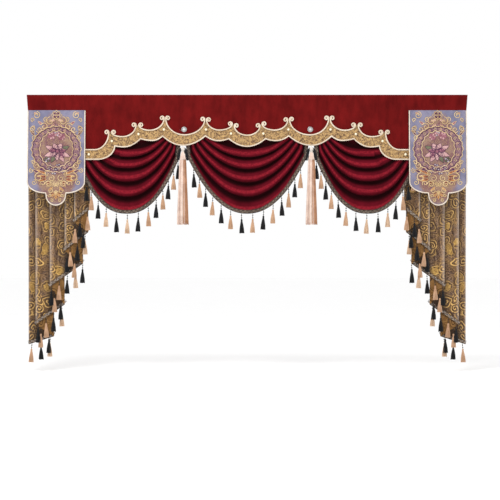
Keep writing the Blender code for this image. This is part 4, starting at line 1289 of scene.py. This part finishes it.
band = ramped(tree, calc(tree, "ABSOLUTE", calc(tree, "SUBTRACT", away, 1.0)), 0.21, 0.18)
lace = node(tree, "TexVoronoi", {"feature": "DISTANCE_TO_EDGE"}, Vector=flat, Scale=130.0).outputs[0]
lace = ramped(tree, lace, 0.10, 0.20)
net = mixed(tree, lace, (0.300, 0.170, 0.180, 1), (0.085, 0.028, 0.075, 1))
ground = over(tree, ground, band, 0.85, net)
weave = node(tree, "TexWave", {"wave_type": "BANDS", "bands_direction": "DIAGONAL"}, Vector=flat,
             Scale=330.0, Distortion=0.4)
raised = calc(tree, "ADD", times(tree, weave.outputs["Fac"], 0.3), calc(
    tree, "ADD", small["Figure"], threads))
dressed(tree, shader, ground, raised, 0.4, 0.0005)
lilac_lining = lining_finish("lilac_lining", (0.300, 0.285, 0.400, 1), (0.190, 0.180, 0.270, 1))

straight = np.linspace(0, FLAP_SIDE_DROP, 28)
round_corner = FLAP_SIDE_DROP + CORNER[1] * np.sin(np.linspace(0, pi / 2, 15)[1:])
tongue = np.r_[FLAP_SIDE_DROP + CORNER[1] + 0.0004, LOBE_DROP
               + LOBE * np.sin(np.linspace(0, pi / 2, 16))]
tongue[-1] -= 0.0001
drop = np.r_[straight, round_corner, tongue][:, None]
x = np.linspace(-1, 1, FLAP_COLUMNS + 1)[None, :] * flap_half(drop)
cut = np.stack(np.broadcast_arrays(x, -drop), -1)
flap = cloth("satin_flap_left", flap_place(x, drop), cut, FLAP_CLOTH, satin, lilac_lining)
flaps = {"left": flap, "right": made_of("satin_flap_right", mirror_of(flap.data), [])}
for name, piece in flaps.items():
    fasten(piece, [f"flap_{name}"])


# ---- The flaps' embroidery ----
# Raised satin stitch and gold cord: a crest, a round lace band with flowers inside it, leaves and
# side flourishes, gold palmettes at the bottom and an orange fan on the tongue.

GOLD, PLUM, ROSE, BLUSH, WINE, LEAF, PEARLY, AMBER = range(8)
EMBROIDERY = [
    floss("gold_cord", (0.820, 0.640, 0.370, 1), (0.520, 0.340, 0.150, 1), 0.35),
    floss("plum_silk", (0.125, 0.040, 0.110, 1), (0.050, 0.012, 0.038, 1), 0.25),
    floss("rose_silk", (0.400, 0.165, 0.205, 1), (0.180, 0.050, 0.080, 1), 0.25),
    floss("blush_silk", (0.640, 0.400, 0.380, 1), (0.400, 0.210, 0.210, 1), 0.25),
    floss("wine_silk", (0.220, 0.025, 0.030, 1), (0.090, 0.008, 0.012, 1), 0.25),
    floss("leaf_silk", (0.190, 0.190, 0.110, 1), (0.080, 0.080, 0.045, 1), 0.25),
    floss("pearly_silk", (0.520, 0.470, 0.480, 1), (0.300, 0.260, 0.280, 1), 0.25),
    floss("amber_silk", (0.600, 0.240, 0.060, 1), (0.300, 0.090, 0.020, 1), 0.25),
]
STITCH_RISE, OUTLINE = 0.0013, 0.0011
FINE, HEAVY = 0.0014, 0.0019
SIDE_CURLS = (
    # x, z, size, turns, start, hand, cord's radius; each is repeated, mirrored, on the other side
    (0.108, -0.027, 0.020, 1.4, pi / 2, 1, HEAVY),
    (0.128, -0.052, 0.012, 1.2, -pi / 2, 1, HEAVY),
    (0.034, -0.060, 0.024, 1.1, pi / 2, -1, HEAVY),
    (0.126, -0.100, 0.016, 1.3, -pi / 2, 1, HEAVY),
    (0.134, -0.330, 0.013, 1.3, pi / 2, -1, HEAVY), (0.094, -0.366, 0.024, 1.2, pi / 2, -1, 0.0023),
    (0.120, -0.394, 0.016, 1.3, pi / 2, 1, HEAVY), (0.040, -0.404, 0.020, 1.3, 0.0, 1, 0.0022),
    (0.030, -0.440, 0.014, 1.2, pi / 2, 1, HEAVY), (0.066, -0.090, 0.022, 1.2, 0.4, 1, HEAVY),
    (0.094, -0.106, 0.018, 1.2, -0.4, -1, HEAVY), (0.118, -0.150, 0.014, 1.2, -1.2, 1, HEAVY),
    (0.058, -0.052, 0.014, 1.2, 2.0, -1, HEAVY), (0.106, -0.304, 0.017, 1.2, 1.0, -1, HEAVY),
    (0.126, -0.286, 0.012, 1.2, 0.4, 1, HEAVY), (0.026, -0.372, 0.018, 1.2, 1.9, 1, HEAVY),
    (0.010, -0.404, 0.012, 1.2, -1.4, -1, HEAVY), (0.072, -0.400, 0.016, 1.2, -0.6, 1, HEAVY),
    (0.048, -0.346, 0.015, 1.2, 2.6, -1, HEAVY), (0.022, -0.492, 0.010, 1.2, 0.6, 1, HEAVY),
    (0.034, -0.464, 0.010, 1.2, 0.2, -1, HEAVY),
)
SIDE_LEAVES = (
    # x, z, angle, length, width, silk; each is repeated, mirrored, on the other side
    (0.122, -0.014, pi / 2 + 1.9, 0.026, 0.010, ROSE),
    (0.010, -0.052, pi / 2 - 1.9, 0.030, 0.011, BLUSH),
    (0.012, -0.075, -pi / 2 + 0.8, 0.030, 0.010, ROSE), (0.118, -0.086, -0.5, 0.030, 0.010, PLUM),
    (0.118, -0.118, 0.2, 0.030, 0.010, PLUM), (0.118, -0.136, 0.7, 0.030, 0.010, PLUM),
    (0.052, -0.346, 0.35, 0.062, 0.013, AMBER), (0.052, -0.362, 0.05, 0.056, 0.013, AMBER),
    (0.052, -0.376, -0.25, 0.046, 0.013, AMBER), (0.018, -0.420, -pi / 2 + 0.9, 0.034, 0.010, AMBER),
    (0.078, -0.078, pi / 2 - 0.9, 0.030, 0.013, ROSE),
    (0.038, -0.388, -pi / 2 + 0.4, 0.036, 0.014, WINE),
    (0.096, -0.338, pi / 2 - 1.2, 0.034, 0.014, PLUM),
)
LACE_RINGS = (
    # half width, half height, steps, wave, lobes, silk, cord's radius
    (0.134, 0.125, 160, 0.025, 22, GOLD, HEAVY), (0.1275, 0.1185, 80, 0.0, 0, PLUM, FINE),
    (0.0950, 0.1035, 80, 0.0, 0, PLUM, FINE), (0.090, 0.099, 120, 0.03, 18, GOLD, HEAVY),
)
LACE_PETALS, LACE_PETAL = 22, (0.016, 0.009)
FLOWERS = (
    # x, z, size, petals, silk, heart, rings, turn, outline
    (-0.070, -0.325, 0.018, 3, PLUM, ROSE, 1, pi / 2, PLUM),
    (0.070, -0.325, 0.018, 3, PLUM, ROSE, 1, pi / 2, PLUM),
    (-0.067, -0.370, 0.014, 5, WINE, AMBER, 1, 0.0, PLUM),
    (0.067, -0.370, 0.014, 5, WINE, AMBER, 1, 0.0, PLUM),
    (0.0, -0.027, 0.010, 6, ROSE, GOLD, 1, 0.0, PLUM),
    (-0.026, -0.140, 0.022, 6, BLUSH, ROSE, 2, 0.3, ROSE),
    (0.030, -0.146, 0.020, 6, BLUSH, ROSE, 2, 0.9, ROSE),
    (0.003, -0.128, 0.017, 5, PEARLY, BLUSH, 1, 0.1, ROSE),
    (0.006, -0.225, 0.050, 7, BLUSH, ROSE, 4, 0.2, PLUM),
    (-0.050, -0.270, 0.018, 5, LEAF, PEARLY, 1, 0.5, PLUM),
    (-0.034, -0.312, 0.017, 6, PEARLY, BLUSH, 2, -0.68, PLUM),
    (0.014, -0.308, 0.018, 6, PEARLY, BLUSH, 2, 0.28, PLUM),
    (-0.010, -0.334, 0.020, 6, PEARLY, BLUSH, 2, -0.20, PLUM),
    (0.036, -0.332, 0.014, 6, PEARLY, BLUSH, 2, 0.72, PLUM),
    (-0.046, -0.340, 0.012, 6, PEARLY, BLUSH, 2, -0.92, PLUM),
)
BIG_ROSE, ROSE_REACH, ROSE_PETAL_WIDTH = (0.006, -0.225), 0.026, 0.026
ROSE_PETALS = (
    # angle, length, silk
    (2.7, 0.0480, BLUSH), (0.4, 0.0464, LEAF), (3.5, 0.0512, BLUSH), (-0.4, 0.0496, BLUSH),
    (4.2, 0.0448, LEAF), (-1.0, 0.0432, BLUSH),
)
CREST_AT, CREST = -0.027, 0.029                 # the crest's middle and its half width
FAN_AT, FAN_PETALS = -0.448, 7
LATTICE_CORDS, LATTICE_PITCH, LATTICE_HALF, LATTICE_TOP, LATTICE_FOOT = 7, 0.010, 0.012, -0.384, -0.416


def stitched(x, z, angle, length, width, kind, outline=GOLD, blunt=0.55):
    """A padded petal or leaf from its root at x, z, and the cord along its edge."""
    ahead = np.array([cos(angle), sin(angle)])
    side = np.array([-ahead[1], ahead[0]])
    t = np.linspace(0, 1, 9)
    half = width / 2 * np.sin(pi * t ** blunt) ** 0.8
    spine = np.array([x, z]) + length * t[:, None] * ahead
    left, right = spine + half[:, None] * side, spine - half[:, None] * side
    net = np.stack([left, (left + spine) / 2, spine, (spine + right) / 2, right], 1)
    rise = STITCH_RISE * np.array([0.1, 0.8, 1.0, 0.8, 0.1])[None, :] * np.sin(pi * t)[:, None] ** 0.4
    index = np.arange(45).reshape(9, 5)
    quads = np.stack([index[:-1, :-1], index[1:, :-1], index[1:, 1:], index[:-1, 1:]], -1)
    quads = quads.reshape(-1, 4)
    mesh = bpy.data.meshes.new("petal")
    points = flap_place(net[..., 0], -net[..., 1], FLAP_CLOTH / 2 + rise)
    mesh.from_pydata(points.reshape(-1, 3).tolist(), [], quads[:, ::-1].tolist())
    parts = [(mesh, Matrix(), kind)]
    if outline is not None:
        parts += corded(np.r_[left, right[::-1]], outline, OUTLINE)
    return parts


def corded(route, kind=GOLD, radius=0.0016):
    """A cord laid along a route of x and z on the flap."""
    route = np.asarray(route)
    points = flap_place(route[:, 0], -route[:, 1], FLAP_CLOTH / 2 + radius * 0.8)
    return [(strands([points], radius, 0), Matrix(), kind)]


def curled(x, z, size, turns, start, hand, radius=HEAVY):
    """A spiral of gold cord that starts at its outer end."""
    a = np.linspace(0, turns * tau, round(turns * 26))
    r = size * (1 - 0.82 * a / a[-1])
    return corded(np.stack([x + r * np.cos(start + hand * a), z + r * np.sin(start + hand * a)], 1),
                  GOLD, radius)


def flower(x, z, size, petals, kind, heart, rings, turn, outline):
    """Petals round a heart, in one ring or more."""
    parts = []
    for ring in range(rings):
        share = 1 - ring / (rings + 0.4)
        count = petals - ring
        for i in range(count):
            a = turn + tau * (i + 0.5 * ring) / count
            root = size * share * 0.20
            parts += stitched(x + root * cos(a), z + root * sin(a), a, size * share * 0.80,
                              size * share * 3.9 / count, kind if (i + ring) % 3 else heart, outline,
                              0.85)
    ball = bead(size * 0.16, 10, 6)
    at = flap_place(x, -z, FLAP_CLOTH / 2 + STITCH_RISE)
    return parts + [(ball, Matrix.Translation(at) @ Matrix.Diagonal((1, 0.35, 1, 1)), heart)]


def oval(half_x, half_z, count=80, wave=0.0, lobes=0):
    a = np.linspace(0, tau, count + 1)
    out = 1 + wave * np.cos(lobes * a)
    return np.stack([half_x * out * np.cos(a), RING_AT + half_z * out * np.sin(a)], 1)


parts = []
for side in (-1, 1):
    for x, z, size, turns, start, hand, radius in SIDE_CURLS:
        start = start if side > 0 else pi - start
        parts += curled(side * x, z, size, turns, start, side * hand, radius)
    for x, z, angle, length, width, silk in SIDE_LEAVES:
        parts += stitched(side * x, z, angle if side > 0 else pi - angle, length, width, silk)
for i in range(4):
    parts += stitched(0.0, CREST_AT, pi / 4 + i * pi / 2, 0.028, 0.020, PLUM)
parts += corded([(0.0, CREST_AT + CREST - 0.002), (CREST, CREST_AT), (0.0, CREST_AT - CREST + 0.002),
                 (-CREST, CREST_AT), (0.0, CREST_AT + CREST - 0.002)])
for half_x, half_z, count, wave, lobes, silk, radius in LACE_RINGS:
    parts += corded(oval(half_x, half_z, count, wave, lobes), silk, radius)
length, width = LACE_PETAL
for i in range(LACE_PETALS):
    a = tau * i / LACE_PETALS
    x, z = RING_SIZE[0] * cos(a), RING_AT + RING_SIZE[1] * sin(a)
    parts += stitched(x - length / 2 * cos(a), z - length / 2 * sin(a), a, length, width,
                      PLUM if i % 2 else ROSE)
for row in FLOWERS:
    parts += flower(*row)
for a, length, silk in ROSE_PETALS:
    parts += stitched(BIG_ROSE[0] + ROSE_REACH * cos(a), BIG_ROSE[1] + ROSE_REACH * sin(a), a, length,
                      ROSE_PETAL_WIDTH, silk, PLUM)
for i in range(FAN_PETALS):
    step = i - FAN_PETALS // 2
    parts += stitched(0.0, FAN_AT, -pi / 2 + step * 0.42, 0.040 - 0.002 * abs(step), 0.015,
                      AMBER if i % 2 else WINE)
parts += curled(0.0, FAN_AT, 0.010, 1.5, 0.0, 1)
for i in range(LATTICE_CORDS):
    x = (i - LATTICE_CORDS // 2) * LATTICE_PITCH
    for lean in (-LATTICE_HALF, LATTICE_HALF):
        parts += corded([(x + lean, LATTICE_TOP), (x - lean, LATTICE_FOOT)], GOLD, 0.0007)
stitches = together(parts)


# ---- The flaps' piping ----
# Cream twisted piping, 7 mm, sewn on the flap's face round its sides, corners and tongue.

PIPING, PIPING_PITCH = 0.0034, 0.016
half = [(FLAP_HALF, drop) for drop in np.linspace(0.003, FLAP_SIDE_DROP, 40)]
half += [(FLAP_HALF - CORNER[0] + CORNER[0] * cos(a), FLAP_SIDE_DROP + CORNER[1] * sin(a))
         for a in np.linspace(0, pi / 2, 14)]
half += [(LOBE * cos(a), LOBE_DROP + LOBE * sin(a)) for a in np.linspace(0, pi / 2, 16)]
edge = np.array([(x, drop) for x, drop in half] + [(-x, drop) for x, drop in half[-2::-1]])
route = flap_place(edge[:, 0], edge[:, 1], FLAP_CLOTH / 2 + GAP + PIPING)
routes, ply = plies(route, PIPING, 3, PIPING_PITCH, 0.0022)
cream_piping = yarn_finish("cream_piping", (0.880, 0.800, 0.700, 1), (0.640, 0.540, 0.430, 1), 0.55)
piping = strands(routes, ply)
for name, thread_mesh, cord_mesh in (("left", stitches, piping),
                                     ("right", mirror_of(stitches), mirror_of(piping))):
    embroidery = rounded(made_of(f"flap_embroidery_{name}", thread_mesh, EMBROIDERY))
    fasten(embroidery, [])
    cord = rounded(made_of(f"flap_piping_{name}_twisted", cord_mesh, [cream_piping]))
    fasten(cord, [f"flap_piping_{name}"])
